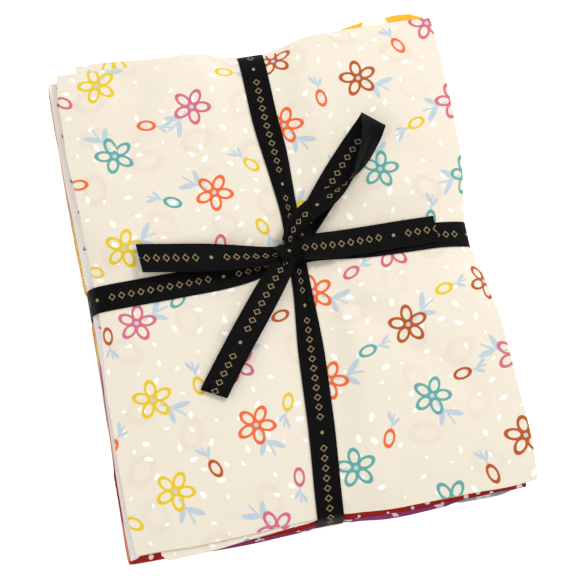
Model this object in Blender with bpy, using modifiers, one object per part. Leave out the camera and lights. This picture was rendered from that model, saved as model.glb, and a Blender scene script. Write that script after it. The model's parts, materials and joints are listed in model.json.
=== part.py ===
"""A fat quarter bundle: folded quilting cottons in a stack, tied both ways with one ribbon and a bow.

Metres, +Z up. +X is the side of the last folds and +Y one end of the folded lengths. The origin is under
the middle of the whole bundle, on the surface that it lies on.
"""

import math
from collections import namedtuple

import bmesh
import bpy
from mathutils import Vector

MM = 0.001

# The cut: 18 in along the bolt by half of the bolt's width, then folded in half both ways
CUT_WIDTH = 458 * MM
CUT_LENGTH = 568 * MM
FOLDED_WIDTH = CUT_WIDTH / 2
FOLDED_LENGTH = CUT_LENGTH / 2

COTTON_ROUGHNESS = 0.85
RIBBON_ROUGHNESS = 0.6

# One layer of a solid is the cloth doubled by its first fold
LAYER = 1.02 * MM
PLY_GAP = 0.4 * MM
PIECE_GAP = 0.45 * MM
FOLDED_THICKNESS = 2 * LAYER + PLY_GAP
PITCH = FOLDED_THICKNESS + PIECE_GAP

# Where the ribbons run over the stack, and the lines that all the folded pieces share
LONG_X = 4 * MM
CROSS_Y = 7 * MM
BAND_FLAT = 9 * MM
BAND_REACH = 24 * MM
EDGE_X = 92 * MM
EDGE_Y = 118 * MM
HALF_X = FOLDED_WIDTH / 2
HALF_Y = FOLDED_LENGTH / 2
LINE_COUNT = 8
BESIDE_BAND = slice(3, 5)

# How the tied stack gives way
CENTRE_PRESS = 3.0 * MM
EDGE_PRESS = 4.0 * MM
RIM_PRESS_AT_FOLDS = 8.0 * MM
RIM_PRESS_AT_RAW = 6.5 * MM
RIM_PRESS_AT_FAR_END = 7.0 * MM
RIM_PRESS_AT_NEAR_END = 6.0 * MM
RIM_DROP = 1.2 * MM
FOLD_SWELL = 0.8 * MM
PULL_AT_FOLDS = 6.0 * MM
PULL_AT_RAW = 3.0 * MM
PULL_AT_FAR_END = 5.5 * MM
PULL_AT_NEAR_END = 2.0 * MM
PULL_AT_FLOOR = 0.3

# The ribbon, and how closely its rings follow the stack
RIBBON_COLOUR = "121214"
RIBBON_WIDTH = 16 * MM
RIBBON_THICKNESS = 1.0 * MM
RIBBON_GAP = 0.3 * MM
RIBBON_STEP = RIBBON_THICKNESS + RIBBON_GAP
RING_STEP = 2.5 * MM
FLOOR_CLEAR = 0.04 * MM

# The knot, and how the bands are drawn in on the way to it
KNOT_WIDTH = 9.5 * MM
KNOT_REACH = 7 * MM
TAPER_NEAR_SIDE = 62 * MM
TAPER_FAR_SIDE = 24 * MM
TAPER_CROSSWISE = 48 * MM
KNOT_SIZE = (21 * MM, 19 * MM, 7.5 * MM)
KNOT_PLACE = (3.5 * MM, 11.5 * MM)
KNOT_TURN = math.radians(30)
KNOT_BEVEL = 2.6 * MM

# The lengthwise ribbon's middle at each y, and the crosswise ribbon's middle at each x, in mm
LONG_LINE = ((-142, -2.4), (-118, -1.4), (-17, 4.6), (-2, 6.3), (16, 5.5), (31, 5.8), (118, 5.0), (142, 4.9))
CROSS_LINE = ((-112, 3.3), (-92, 2.9), (-20, 4.6), (-5, 8.0), (13, 9.5), (28, 9.4), (92, 7.8), (112, 6.5))

# Shifts and sizes in mm, turn in degrees; under is how far the lower layer sticks out at the near end
FatQuarter = namedtuple("FatQuarter", "name colour shift_x shift_y turn narrow under")
PIECES = (
    FatQuarter("fat_quarter_01_cream", "F1E7D4", 3.0, 0.0, 0.0, 0.0, 4.0),
    FatQuarter("fat_quarter_02_marigold", "FDB62B", 1.8, 2.4, 0.7, 1.0, 0.0),
    FatQuarter("fat_quarter_03_light_grey", "DDD5CF", -1.0, -0.6, 0.3, 0.0, 2.0),
    FatQuarter("fat_quarter_04_red", "A8180F", -0.6, -2.2, 0.1, 3.0, 0.5),
    FatQuarter("fat_quarter_05_plum", "9C3F7A", -1.6, -2.6, 0.2, 2.0, 1.0),
    FatQuarter("fat_quarter_06_blue_grey", "9FB0C0", -2.2, -1.6, 0.3, 2.5, 1.5),
    FatQuarter("fat_quarter_07_yellow", "EDCB1F", -1.8, 0.4, 0.2, 1.0, 0.0),
    FatQuarter("fat_quarter_08_mauve", "C9A9B8", -2.4, -0.8, 0.3, 0.0, 1.5),
    FatQuarter("fat_quarter_09_teal", "5FA9A3", -1.2, 0.6, 0.1, 2.0, -1.0),
    FatQuarter("fat_quarter_10_salmon", "E98A72", -2.6, -1.2, 0.2, 1.0, 1.0),
    FatQuarter("fat_quarter_11_pink", "E08CAF", -1.8, 0.8, 0.0, 1.5, -1.0),
    FatQuarter("fat_quarter_12_rust", "B9541A", -2.6, -0.6, 0.2, 0.0, 1.5),
    FatQuarter("fat_quarter_13_ivory", "EFE6D6", -1.6, -1.8, 0.1, 2.0, 0.5),
    FatQuarter("fat_quarter_14_orange", "EF6A31", -2.4, 0.2, 0.2, 1.0, -0.5),
    FatQuarter("fat_quarter_15_slate", "5D6F80", -2.0, -1.4, 0.3, 0.5, 1.0),
    FatQuarter("fat_quarter_16_rose", "D2697F", -2.8, 0.6, 0.1, 1.0, 0.0),
    FatQuarter("fat_quarter_17_mint", "A9D2C6", -2.2, -1.0, 0.2, 0.5, 1.0),
    FatQuarter("fat_quarter_18_dark_red", "8E1410", -3.0, -1.6, 0.1, 0.0, 0.5),
)
STACK = len(PIECES) * PITCH - PIECE_GAP

# Free runs of the ribbon, station by station: place and rise over the stack's top in mm, the way across
# the ribbon in degrees, and its width in mm
Station = namedtuple("Station", "x y rise across width")
LEFT_TAIL = (
    Station(-9.8, 11.8, 4.0, 96, 11.0),
    Station(-14.0, 11.8, 4.6, 95, 12.5),
    Station(-24.0, 13.0, 4.2, 94, 15.0),
    Station(-42.0, 15.6, 3.4, 94, 16.0),
    Station(-62.0, 19.0, 2.8, 94, 16.0),
    Station(-82.0, 22.6, 2.6, 94, 16.0),
)
RIGHT_TAIL = (
    Station(17.2, 11.6, 3.2, 90, 13.0),
    Station(21.0, 11.4, 1.6, 90, 15.0),
    Station(30.0, 11.2, -0.6, 90, 16.0),
    Station(50.0, 11.2, -1.1, 90, 16.0),
    Station(72.0, 11.4, -1.2, 90, 16.0),
    Station(92.0, 11.6, -1.3, 90, 16.0),
)
RIGHT_LOOP = (
    Station(11.0, 21.6, 7.6, 146, 10.0),
    Station(16.0, 29.0, 10.4, 144, 13.0),
    Station(30.0, 50.0, 14.0, 140, 15.5),
    Station(46.0, 68.0, 15.0, 138, 16.0),
    Station(61.0, 79.0, 13.6, 136, 16.0),
    Station(65.2, 80.6, 12.0, 136, 16.0),
    Station(66.0, 79.6, 10.0, 136, 16.0),
    Station(64.2, 76.6, 8.4, 136, 16.0),
    Station(52.0, 59.0, 5.4, 138, 16.0),
    Station(36.0, 41.0, 3.4, 136, 15.0),
    Station(22.0, 27.0, 3.2, 136, 12.0),
    Station(15.0, 22.4, 3.6, 136, 9.0),
)
LEFT_LOOP = (
    Station(-5.8, 1.2, 5.0, 141, 10.5),
    Station(-10.0, -4.6, 5.8, 144, 13.0),
    Station(-20.0, -18.0, 5.6, 149, 16.0),
    Station(-36.0, -38.0, 4.6, 151, 16.0),
    Station(-50.0, -56.0, 3.5, 152, 16.0),
    Station(-53.4, -60.4, 2.9, 152, 16.0),
    Station(-54.2, -61.4, 1.9, 152, 16.0),
    Station(-53.4, -60.4, 0.9, 152, 16.0),
    Station(-50.0, -56.0, 0.6, 152, 16.0),
    Station(-36.0, -38.0, 0.7, 151, 16.0),
    Station(-20.0, -18.0, 1.0, 149, 15.0),
    Station(-9.6, -3.6, 2.2, 144, 11.0),
)


def clear_scene():
    """Empties the scene that the script starts in."""
    for thing in list(bpy.data.objects):
        bpy.data.objects.remove(thing, do_unlink=True)


def linear(hex_colour):
    """An sRGB hex colour as linear red, green, blue and alpha."""
    parts = [int(hex_colour[i : i + 2], 16) / 255 for i in (0, 2, 4)]
    return [p / 12.92 if p <= 0.04045 else ((p + 0.055) / 1.055) ** 2.4 for p in parts] + [1.0]


def cloth_material(name, hex_colour, roughness):
    """A woven cloth: matt, not metallic."""
    material = bpy.data.materials.new(name)
    material.use_nodes = True
    shader = material.node_tree.nodes["Principled BSDF"]
    shader.inputs["Base Color"].default_value = linear(hex_colour)
    shader.inputs["Roughness"].default_value = roughness
    shader.inputs["Metallic"].default_value = 0.0
    return material


def share(value, start, end):
    """0 at start, 1 at end, straight between them and level outside."""
    return min(1.0, max(0.0, (value - start) / (end - start)))


def past(value, start, end):
    """0 up to start, 1 at end, and straight on past it."""
    return max(0.0, (value - start) / (end - start))


def along(line, place):
    """A ribbon's middle at a place, in metres, from its table in mm."""
    place = place / MM
    if place <= line[0][0]:
        return line[0][1] * MM
    for (a, low), (b, high) in zip(line, line[1:]):
        if place <= b:
            return (low + (high - low) * (place - a) / (b - a)) * MM
    return line[-1][1] * MM


def press_under(place, edge, half, rim_press):
    """How far the ribbon presses the top down, at a place along it, with what it presses the two rims by."""
    rise = (EDGE_PRESS - CENTRE_PRESS) * share(abs(place), BAND_REACH, edge)
    at_rim = rim_press[0] if place < 0 else rim_press[1]
    return CENTRE_PRESS + rise + (at_rim - EDGE_PRESS) * past(abs(place), edge, half)


def give(x, y, z):
    """Carries a point of the loose, square stack to its place in the tied one."""
    long_share = 1 - share(abs(x - LONG_X), BAND_FLAT, BAND_REACH)
    cross_share = 1 - share(abs(y - CROSS_Y), BAND_FLAT, BAND_REACH)
    long_press = press_under(y, EDGE_Y, HALF_Y, (RIM_PRESS_AT_NEAR_END, RIM_PRESS_AT_FAR_END))
    cross_press = press_under(x, EDGE_X, HALF_X, (RIM_PRESS_AT_RAW, RIM_PRESS_AT_FOLDS))
    press = max(long_share * long_press, cross_share * cross_press)
    rim_x = past(abs(x), EDGE_X, HALF_X)
    rim_y = past(abs(y), EDGE_Y, HALF_Y)
    top = STACK + FOLD_SWELL * x / HALF_X - RIM_DROP * (rim_x + rim_y) - press
    lift = RIBBON_STEP * (long_share + cross_share) + FLOOR_CLEAR * max(long_share, cross_share)
    height = z / STACK
    pull = PULL_AT_FLOOR + (1 - PULL_AT_FLOOR) * height * height
    pull_x = (PULL_AT_FOLDS if x > 0 else -PULL_AT_RAW) * rim_x * cross_share * pull
    pull_y = (PULL_AT_FAR_END if y > 0 else -PULL_AT_NEAR_END) * rim_y * long_share * pull
    near_long = 1 - share(abs(x - LONG_X), BAND_REACH, EDGE_X - LONG_X)
    near_cross = 1 - share(abs(y - CROSS_Y), BAND_REACH, EDGE_Y - CROSS_Y)
    shift_x = (along(LONG_LINE, y) - LONG_X) * near_long
    shift_y = (along(CROSS_LINE, x) - CROSS_Y) * near_cross
    return Vector((x + shift_x - pull_x, y + shift_y - pull_y, lift + height * (top - lift)))


def shared_lines(low, high, middle, edge):
    """The lines across one side of the stack: a piece's own two ends, and those that all pieces share."""
    beside = [middle + step for step in (-BAND_REACH, -BAND_FLAT, BAND_FLAT, BAND_REACH)]
    return [low, -edge, *beside, edge, high]


# A point of the folded section: its line, how far past that line and how high its two faces are, and its layer
SectionPoint = namedtuple("SectionPoint", "line outer_x inner_x outer_z inner_z upper")


def fold_section(bottom):
    """The back-and-forth section: the upper layer up to the fold, round it, and the lower layer back."""
    top = bottom + FOLDED_THICKNESS
    middle = bottom + FOLDED_THICKNESS / 2
    outer, inner = FOLDED_THICKNESS / 2, PLY_GAP / 2
    points = [SectionPoint(line, 0, 0, top, top - LAYER, True) for line in range(LINE_COUNT)]
    for degrees in (45, 90, 135):
        out, up = math.sin(math.radians(degrees)), math.cos(math.radians(degrees))
        heights = (middle + outer * up, middle + inner * up)
        points.append(SectionPoint(LINE_COUNT - 1, outer * out, inner * out, *heights, degrees < 90))
    points += [SectionPoint(line, 0, 0, bottom, bottom + LAYER, False) for line in reversed(range(LINE_COUNT))]
    return points


def folded_grid(piece, number):
    """The two faces of one folded fat quarter, each a grid of points: round the fold, and along the length."""
    bottom = (len(PIECES) - 1 - number) * PITCH
    lean = math.tan(math.radians(piece.turn))
    width = FOLDED_WIDTH - piece.narrow * MM
    columns = []
    raw = piece.shift_x * MM - width / 2
    fold = piece.shift_x * MM + width / 2 - FOLDED_THICKNESS / 2
    for point in fold_section(bottom):
        outside, inside = [], []
        for row, level_y in enumerate(shared_lines(-HALF_Y, HALF_Y, CROSS_Y, EDGE_Y)):
            x = shared_lines(raw - lean * level_y, fold - lean * level_y, LONG_X, EDGE_X)[point.line]
            near = piece.shift_y * MM - FOLDED_LENGTH / 2 + lean * x
            far = near + FOLDED_LENGTH
            if not point.upper:
                near -= piece.under * MM * (fold - x) / width
            y = shared_lines(near, far, CROSS_Y, EDGE_Y)[row]
            outside.append(give(x + point.outer_x, y, point.outer_z))
            inside.append(give(x + point.inner_x, y, point.inner_z))
        columns.append((outside, inside))
    return columns


def new_object(name, mesh, collection, material):
    """An object of this mesh, in the bundle's collection and with its own material."""
    thing = bpy.data.objects.new(name, mesh)
    collection.objects.link(thing)
    mesh.materials.append(material)
    return thing


def folded_solid(piece, number, collection):
    """One folded fat quarter as a closed solid, lofted between the shared lines."""
    columns = folded_grid(piece, number)
    build = bmesh.new()
    outer = [[build.verts.new(point) for point in column[0]] for column in columns]
    inner = [[build.verts.new(point) for point in column[1]] for column in columns]
    across, down = len(columns) - 1, len(outer[0]) - 1
    for i in range(across):
        for j in range(down):
            for grid in (outer, inner):
                corners = [grid[i][j], grid[i + 1][j], grid[i + 1][j + 1], grid[i][j + 1]]
                # The first corner sets the diagonal, and all layers need the same one in space
                if i >= across / 2:
                    corners = corners[1:] + corners[:1]
                build.faces.new(corners if grid is outer else corners[:1] + corners[:0:-1])
    for i in range(across):
        for j in (0, down):
            build.faces.new((outer[i][j], inner[i][j], inner[i + 1][j], outer[i + 1][j]))
    for j in range(down):
        for i in (0, across):
            build.faces.new((outer[i][j], outer[i][j + 1], inner[i][j + 1], inner[i][j]))
    bmesh.ops.recalc_face_normals(build, faces=build.faces)
    mesh = bpy.data.meshes.new(piece.name)
    build.to_mesh(mesh)
    build.free()
    cotton = cloth_material(piece.name + "_cotton", piece.colour, COTTON_ROUGHNESS)
    return new_object(piece.name, mesh, collection, cotton)


def convex_ring(points):
    """The taut outline round a set of (along, height) points, anticlockwise, with no very short side."""
    points = sorted(set(points))

    def turn_of(a, b, c):
        return (b[0] - a[0]) * (c[1] - a[1]) - (b[1] - a[1]) * (c[0] - a[0])

    def half(ordered):
        chain = []
        for point in ordered:
            while len(chain) > 1 and turn_of(chain[-2], chain[-1], point) <= 0:
                chain.pop()
            chain.append(point)
        return chain[:-1]

    ring = half(points) + half(points[::-1])
    while True:
        side, start = min((math.dist(ring[i - 1], ring[i]), i - 1) for i in range(len(ring)))
        if side > RING_STEP:
            return ring
        ring = ring[start:] + ring[:start]
        ring = [meeting(ring[-1], ring[0], ring[2], ring[1])] + ring[2:]


def meeting(a, b, c, d):
    """Where the line from a through b meets the one from c through d."""
    ux, uz, vx, vz = b[0] - a[0], b[1] - a[1], d[0] - c[0], d[1] - c[1]
    part = ((c[0] - a[0]) * vz - (c[1] - a[1]) * vx) / (ux * vz - uz * vx)
    return (a[0] + part * ux, a[1] + part * uz)


def with_stations(ring, places):
    """The ring again, with a point added on its top and bottom runs at each of these places along."""
    result = []
    for here, there in zip(ring, ring[1:] + ring[:1]):
        result.append(here)
        if abs(here[0] - there[0]) < BAND_REACH:
            continue
        inside = [p for p in places if min(here[0], there[0]) + MM < p < max(here[0], there[0]) - MM]
        for place in sorted(inside, reverse=here[0] > there[0]):
            part = (place - here[0]) / (there[0] - here[0])
            result.append((place, here[1] + part * (there[1] - here[1])))
    return result


def moved_out(ring, distance):
    """The ring's points moved out square to it, with mitred corners."""
    result = []
    for before, here, after in zip(ring[-1:] + ring[:-1], ring, ring[1:] + ring[:1]):
        normals = []
        for a, b in ((before, here), (here, after)):
            run = math.dist(a, b)
            normals.append(((b[1] - a[1]) / run, (a[0] - b[0]) / run))
        (ax, az), (bx, bz) = normals
        reach = distance / (1 + ax * bx + az * bz)
        result.append((here[0] + (ax + bx) * reach, here[1] + (az + bz) * reach))
    return result


def knot_width(distance, taper):
    """A band's width at a distance from the knot, drawn in there and full past the taper."""
    return KNOT_WIDTH + (RIBBON_WIDTH - KNOT_WIDTH) * share(distance, KNOT_REACH, taper)


def ribbon_object(name, rows, closed, collection, material):
    """A length of ribbon from rows of points across it, made solid by Solidify."""
    build = bmesh.new()
    made = [[build.verts.new(point) for point in row] for row in rows]
    following = made[1:] + made[:1] if closed else made[1:]
    for row, after in zip(made, following):
        build.faces.new((row[0], row[1], after[1], after[0]))
    bmesh.ops.recalc_face_normals(build, faces=build.faces)
    mesh = bpy.data.meshes.new(name)
    build.to_mesh(mesh)
    build.free()
    ribbon = new_object(name, mesh, collection, material)
    solid = ribbon.modifiers.new("Thickness", "SOLIDIFY")
    solid.thickness = RIBBON_THICKNESS
    solid.offset = 0.0
    solid.use_even_offset = True
    return ribbon


def long_band(grids, collection, material):
    """The ribbon round the length of the stack, next to the cloth on top and outermost underneath."""
    beside = range(LINE_COUNT)[BESIDE_BAND]
    columns = [i for i, point in enumerate(fold_section(0)) if point.line in beside]
    points = [(p.y, p.z) for grid in grids for i in columns for face in grid[i] for p in face]
    steps = (-TAPER_NEAR_SIDE, -BAND_REACH, -BAND_FLAT, BAND_FLAT, TAPER_FAR_SIDE)
    places = [CROSS_Y + step for step in steps]
    ring = moved_out(with_stations(convex_ring(points), places), RIBBON_GAP + RIBBON_THICKNESS / 2)
    rows = []
    for y, z in ring:
        taper = TAPER_NEAR_SIDE if y < CROSS_Y else TAPER_FAR_SIDE
        width = knot_width(abs(y - CROSS_Y), taper) if z > STACK / 2 else RIBBON_WIDTH
        middle = along(LONG_LINE, y)
        rows.append([Vector((middle + side * width / 2, y, z)) for side in (-1, 1)])
    return ribbon_object("ribbon_long_band", rows, True, collection, material)


def cross_band(grids, collection, material):
    """The ribbon round the width of the stack, over the lengthwise one on top and inside it underneath."""
    points = [(p.x, p.z) for grid in grids for column in grid for face in column for p in face[BESIDE_BAND]]
    middle_x = along(LONG_LINE, CROSS_Y)
    clear = RIBBON_WIDTH / 2 + RIBBON_GAP
    steps = (-TAPER_CROSSWISE, -BAND_REACH, -clear, clear, BAND_REACH, TAPER_CROSSWISE)
    places = [middle_x + step for step in steps]
    ring = moved_out(with_stations(convex_ring(points), places), RIBBON_GAP + RIBBON_THICKNESS / 2)
    rows = []
    for x, z in ring:
        over = RIBBON_STEP * (1 - share(abs(x - middle_x), clear + RIBBON_GAP, BAND_REACH - RIBBON_GAP))
        width = knot_width(abs(x - middle_x), TAPER_CROSSWISE) if z > STACK / 2 else RIBBON_WIDTH
        middle = along(CROSS_LINE, x)
        rows.append([Vector((x, middle + side * width / 2, z + over)) for side in (-1, 1)])
    return ribbon_object("ribbon_cross_band", rows, True, collection, material)


def free_run(name, stations, collection, material):
    """A tail or loop of the bow: a strip through its stations, each turned its own way."""
    rows = []
    for station in stations:
        heading = math.radians(station.across)
        across = Vector((math.cos(heading), math.sin(heading), 0)) * station.width * MM / 2
        place = Vector((station.x * MM, station.y * MM, STACK + station.rise * MM))
        rows.append([place - across, place + across])
    return ribbon_object(name, rows, False, collection, material)


def knot(collection, material):
    """The bow's knot: a low rounded lump that sits where the ribbons cross."""
    base = STACK - CENTRE_PRESS + 2 * RIBBON_STEP + RIBBON_GAP
    bpy.ops.mesh.primitive_cube_add(size=1)
    lump = bpy.context.object
    lump.name = "ribbon_knot"
    lump.data.name = "ribbon_knot"
    lump.scale = KNOT_SIZE
    bpy.ops.object.transform_apply(location=False, rotation=False, scale=True)
    lump.location = (*KNOT_PLACE, base + KNOT_SIZE[2] / 2)
    lump.rotation_euler = (0, 0, KNOT_TURN)
    round_edges = lump.modifiers.new("Rounding", "BEVEL")
    round_edges.width = KNOT_BEVEL
    round_edges.segments = 3
    for holder in list(lump.users_collection):
        holder.objects.unlink(lump)
    collection.objects.link(lump)
    lump.data.materials.append(material)
    return lump


def main():
    """Builds the stack, then ties it."""
    clear_scene()
    bundle = bpy.data.collections.new("fat_quarter_bundle")
    bpy.context.scene.collection.children.link(bundle)
    for number, piece in enumerate(PIECES):
        folded_solid(piece, number, bundle)
    grids = [folded_grid(piece, number) for number, piece in enumerate(PIECES)]
    for name, make in (("long_band", long_band), ("cross_band", cross_band)):
        make(grids, bundle, cloth_material(f"black_ribbon_{name}", RIBBON_COLOUR, RIBBON_ROUGHNESS))
    knot(bundle, cloth_material("black_ribbon_knot", RIBBON_COLOUR, RIBBON_ROUGHNESS))
    runs = {
        "ribbon_left_tail": LEFT_TAIL,
        "ribbon_right_tail": RIGHT_TAIL,
        "ribbon_right_loop": RIGHT_LOOP,
        "ribbon_left_loop": LEFT_LOOP,
    }
    for name, stations in runs.items():
        free_run(name, stations, bundle, cloth_material(f"black_{name}", RIBBON_COLOUR, RIBBON_ROUGHNESS))


main()
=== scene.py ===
"""Looks of a fat quarter bundle: folded quilting cottons in a stack, tied both ways with a black ribbon.

Each cotton is one thin sheet, folded in half twice, and the ribbon is thin sheets too. The frame is the
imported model's: +Z up, +X the side of the last folds, +Y one end of the folded lengths, the origin on the
surface under the middle of the bundle. Tables and shape fields are in millimetres, and meshes in metres.
"""

import json
import logging
import math
from dataclasses import dataclass, field
from enum import Enum

import bpy
import numpy as np
from mathutils import Matrix, Vector

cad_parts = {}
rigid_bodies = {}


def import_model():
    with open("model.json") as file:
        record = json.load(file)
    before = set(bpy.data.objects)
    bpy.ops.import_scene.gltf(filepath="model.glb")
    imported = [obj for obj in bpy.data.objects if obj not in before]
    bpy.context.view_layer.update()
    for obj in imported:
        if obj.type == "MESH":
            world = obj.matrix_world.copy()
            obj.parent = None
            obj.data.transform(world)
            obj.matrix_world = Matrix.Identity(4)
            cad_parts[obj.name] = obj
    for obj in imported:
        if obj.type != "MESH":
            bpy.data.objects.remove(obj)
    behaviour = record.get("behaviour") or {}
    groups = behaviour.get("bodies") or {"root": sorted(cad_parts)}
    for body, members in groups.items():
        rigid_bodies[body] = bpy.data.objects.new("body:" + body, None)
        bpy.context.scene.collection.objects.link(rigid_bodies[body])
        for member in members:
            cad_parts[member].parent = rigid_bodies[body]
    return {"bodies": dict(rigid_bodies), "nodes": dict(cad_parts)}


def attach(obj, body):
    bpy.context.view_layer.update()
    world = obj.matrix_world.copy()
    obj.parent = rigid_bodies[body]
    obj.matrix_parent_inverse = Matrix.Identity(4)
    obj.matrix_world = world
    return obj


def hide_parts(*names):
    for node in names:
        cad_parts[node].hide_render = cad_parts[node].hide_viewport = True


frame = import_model()

LOG = logging.getLogger("bundle")
MM = 0.001
UV_NAME = "Flat"
Array = np.ndarray
Place = tuple[float, float]
Table = tuple[Place, ...]


# ---- Small helpers ----


def linear(hex_colour: str, alpha: float = 1.0) -> tuple[float, float, float, float]:
    """Turns an sRGB hex colour to linear light.

    Args:
        hex_colour: Six hex digits.
        alpha: The fourth number.

    Returns:
        Linear red, green, blue and alpha.
    """
    parts = [int(hex_colour[i : i + 2], 16) / 255 for i in (0, 2, 4)]
    red, green, blue = (p / 12.92 if p <= 0.04045 else ((p + 0.055) / 1.055) ** 2.4 for p in parts)
    return (red, green, blue, alpha)


def add_node(
    tree: bpy.types.NodeTree, kind: str, inputs: dict | None = None, **settings: object
) -> bpy.types.Node:
    """Adds one node with its settings and links.

    Args:
        tree: The tree that it goes into.
        kind: Blender's name for the type of node.
        inputs: A value or a socket for each input, by name or number.
        settings: Attributes to set before the inputs.

    Returns:
        The new node.
    """
    node = tree.nodes.new(kind)
    for name, value in settings.items():
        setattr(node, name, value)
    for key, value in (inputs or {}).items():
        if isinstance(value, Wire):
            value = value.socket
        if isinstance(value, bpy.types.NodeSocket):
            tree.links.new(value, node.inputs[key])
        else:
            node.inputs[key].default_value = value
    return node


class Wire:
    """A number that runs through a node tree, so that sums on it can be written as plain arithmetic."""

    def __init__(self, tree: bpy.types.NodeTree, socket: bpy.types.NodeSocket) -> None:
        """Takes the tree and the socket that gives the number."""
        self.tree = tree
        self.socket = socket

    def math(self, operation: str, *others: "Wire | float", clamp: bool = False) -> "Wire":
        """One sum with this number first.

        Args:
            operation: Blender's name for it.
            others: The other numbers in it.
            clamp: Whether the result stays from 0 to 1.

        Returns:
            The result.
        """
        inputs = dict(enumerate((self, *others)))
        node = add_node(self.tree, "ShaderNodeMath", inputs, operation=operation, use_clamp=clamp)
        return Wire(self.tree, node.outputs[0])

    def __add__(self, other: "Wire | float") -> "Wire":
        """This plus the other."""
        return self.math("ADD", other)

    def __sub__(self, other: "Wire | float") -> "Wire":
        """This minus the other."""
        return self.math("SUBTRACT", other)

    def __mul__(self, other: "Wire | float") -> "Wire":
        """This times the other."""
        return self.math("MULTIPLY", other)

    def __truediv__(self, other: "Wire | float") -> "Wire":
        """This divided by the other."""
        return self.math("DIVIDE", other)

    def size(self) -> "Wire":
        """This without its sign."""
        return self.math("ABSOLUTE")

    def inside(self, limit: "Wire | float", soft: float = 0.3) -> "Wire":
        """1 where this is under a limit and 0 above it.

        Args:
            limit: Where the edge is.
            soft: How wide the edge is, in the same unit.

        Returns:
            The mask.
        """
        return ((self - limit) * (-1.0 / soft)).math("ADD", 0.5, clamp=True)


def smooth(value: Array) -> Array:
    """A smooth step from 0 to 1 as the value goes from 0 to 1, level outside."""
    t = np.clip(value, 0.0, 1.0)
    return t * t * (3.0 - 2.0 * t)


def read(table: Table, place: Array, blur: float = 0.0) -> Array:
    """Reads a table of (place, value) pairs with straight lines between them, rounded off if asked.

    Args:
        table: The pairs, in rising order of place.
        place: Where to read it.
        blur: Half the length over which corners are rounded, in the unit of place.

    Returns:
        The values there.
    """
    places, values = np.array(table, float).T
    if blur == 0.0:
        return np.interp(place, places, values)
    steps = np.linspace(-blur, blur, 7)
    weights = 1.0 - np.abs(steps) / (blur * 1.25)
    return sum(w * np.interp(place + s, places, values) for s, w in zip(steps, weights)) / weights.sum()


def wave(place: Array, seed: float, size: float) -> Array:
    """An uneven edge: two slow waves whose start the seed sets.

    Args:
        place: Along the edge.
        seed: Any number, one for each edge.
        size: How far it wanders either way.

    Returns:
        How far the edge is out at each place.
    """
    first, second = math.fmod(seed * 2.399, 6.283), math.fmod(seed * 5.131, 6.283)
    return size * (0.6 * np.sin(place / 13.5 + first) + 0.4 * np.sin(place / 5.7 + second))


def sheet_object(
    name: str, grid: Array, flat_u: Array, flat_v: Array, closed: bool = False
) -> bpy.types.Object:
    """A thin sheet from a grid of points, with its flat place as its UV map.

    Args:
        name: The new object's name.
        grid: Points in millimetres, rows by columns by three.
        flat_u: Each row's place on the flat sheet, in millimetres, and one more where the sheet is closed.
        flat_v: Each column's place on the flat sheet, in millimetres.
        closed: Whether the last row joins the first.

    Returns:
        The object, at the origin, with its mesh in metres.
    """
    rows, columns = grid.shape[:2]
    i, j = np.meshgrid(np.arange(rows if closed else rows - 1), np.arange(columns - 1), indexing="ij")
    corner_i = np.stack([i, i + 1, i + 1, i], -1).reshape(-1, 4)
    corner_j = np.stack([j, j, j + 1, j + 1], -1).reshape(-1, 4)
    faces = (corner_i % rows) * columns + corner_j
    mesh = bpy.data.meshes.new(name)
    mesh.from_pydata((grid.reshape(-1, 3) * MM).tolist(), [], faces.tolist())
    flat = np.stack([flat_u[corner_i], flat_v[corner_j]], -1) * MM
    mesh.uv_layers.new(name=UV_NAME).data.foreach_set("uv", flat.reshape(-1))
    mesh.update()
    thing = bpy.data.objects.new(name, mesh)
    bpy.context.scene.collection.objects.link(thing)
    return thing


def thicken(thing: bpy.types.Object, thickness: float) -> None:
    """Gives a sheet its thickness, the second material on its other side, and smooth shading.

    Args:
        thing: The sheet, with both of its materials.
        thickness: In millimetres, half of it to each side.
    """
    bpy.ops.object.select_all(action="DESELECT")
    thing.select_set(True)
    bpy.context.view_layer.objects.active = thing
    solid = thing.modifiers.new("Thickness", "SOLIDIFY")
    solid.thickness = thickness * MM
    solid.offset = 0.0
    solid.material_offset = 1
    bpy.ops.object.modifier_apply(modifier=solid.name)
    bpy.ops.object.shade_smooth_by_angle(angle=math.radians(60))


# ---- Finishes ----

# A linear colour or the socket that gives one, and the masks of a print, each with its ink
Colour = tuple[float, float, float, float] | bpy.types.NodeSocket
Layers = list[tuple[Wire, Colour]]


class Print(Enum):
    """The kinds of print on the cottons."""

    TOSSED_BLOOMS = "tossed outline blooms with sprigs and small white petals"
    PIN_DOTS = "pin dots with small sprigs"
    SPOTS = "uneven spots"
    BLOOMS = "filled five-petal blooms"
    SPRIGS = "pairs of small leaves"
    STRIPES = "narrow stripes"
    CHECK = "small gingham check"
    HATCH = "crossed fine lines"


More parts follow.
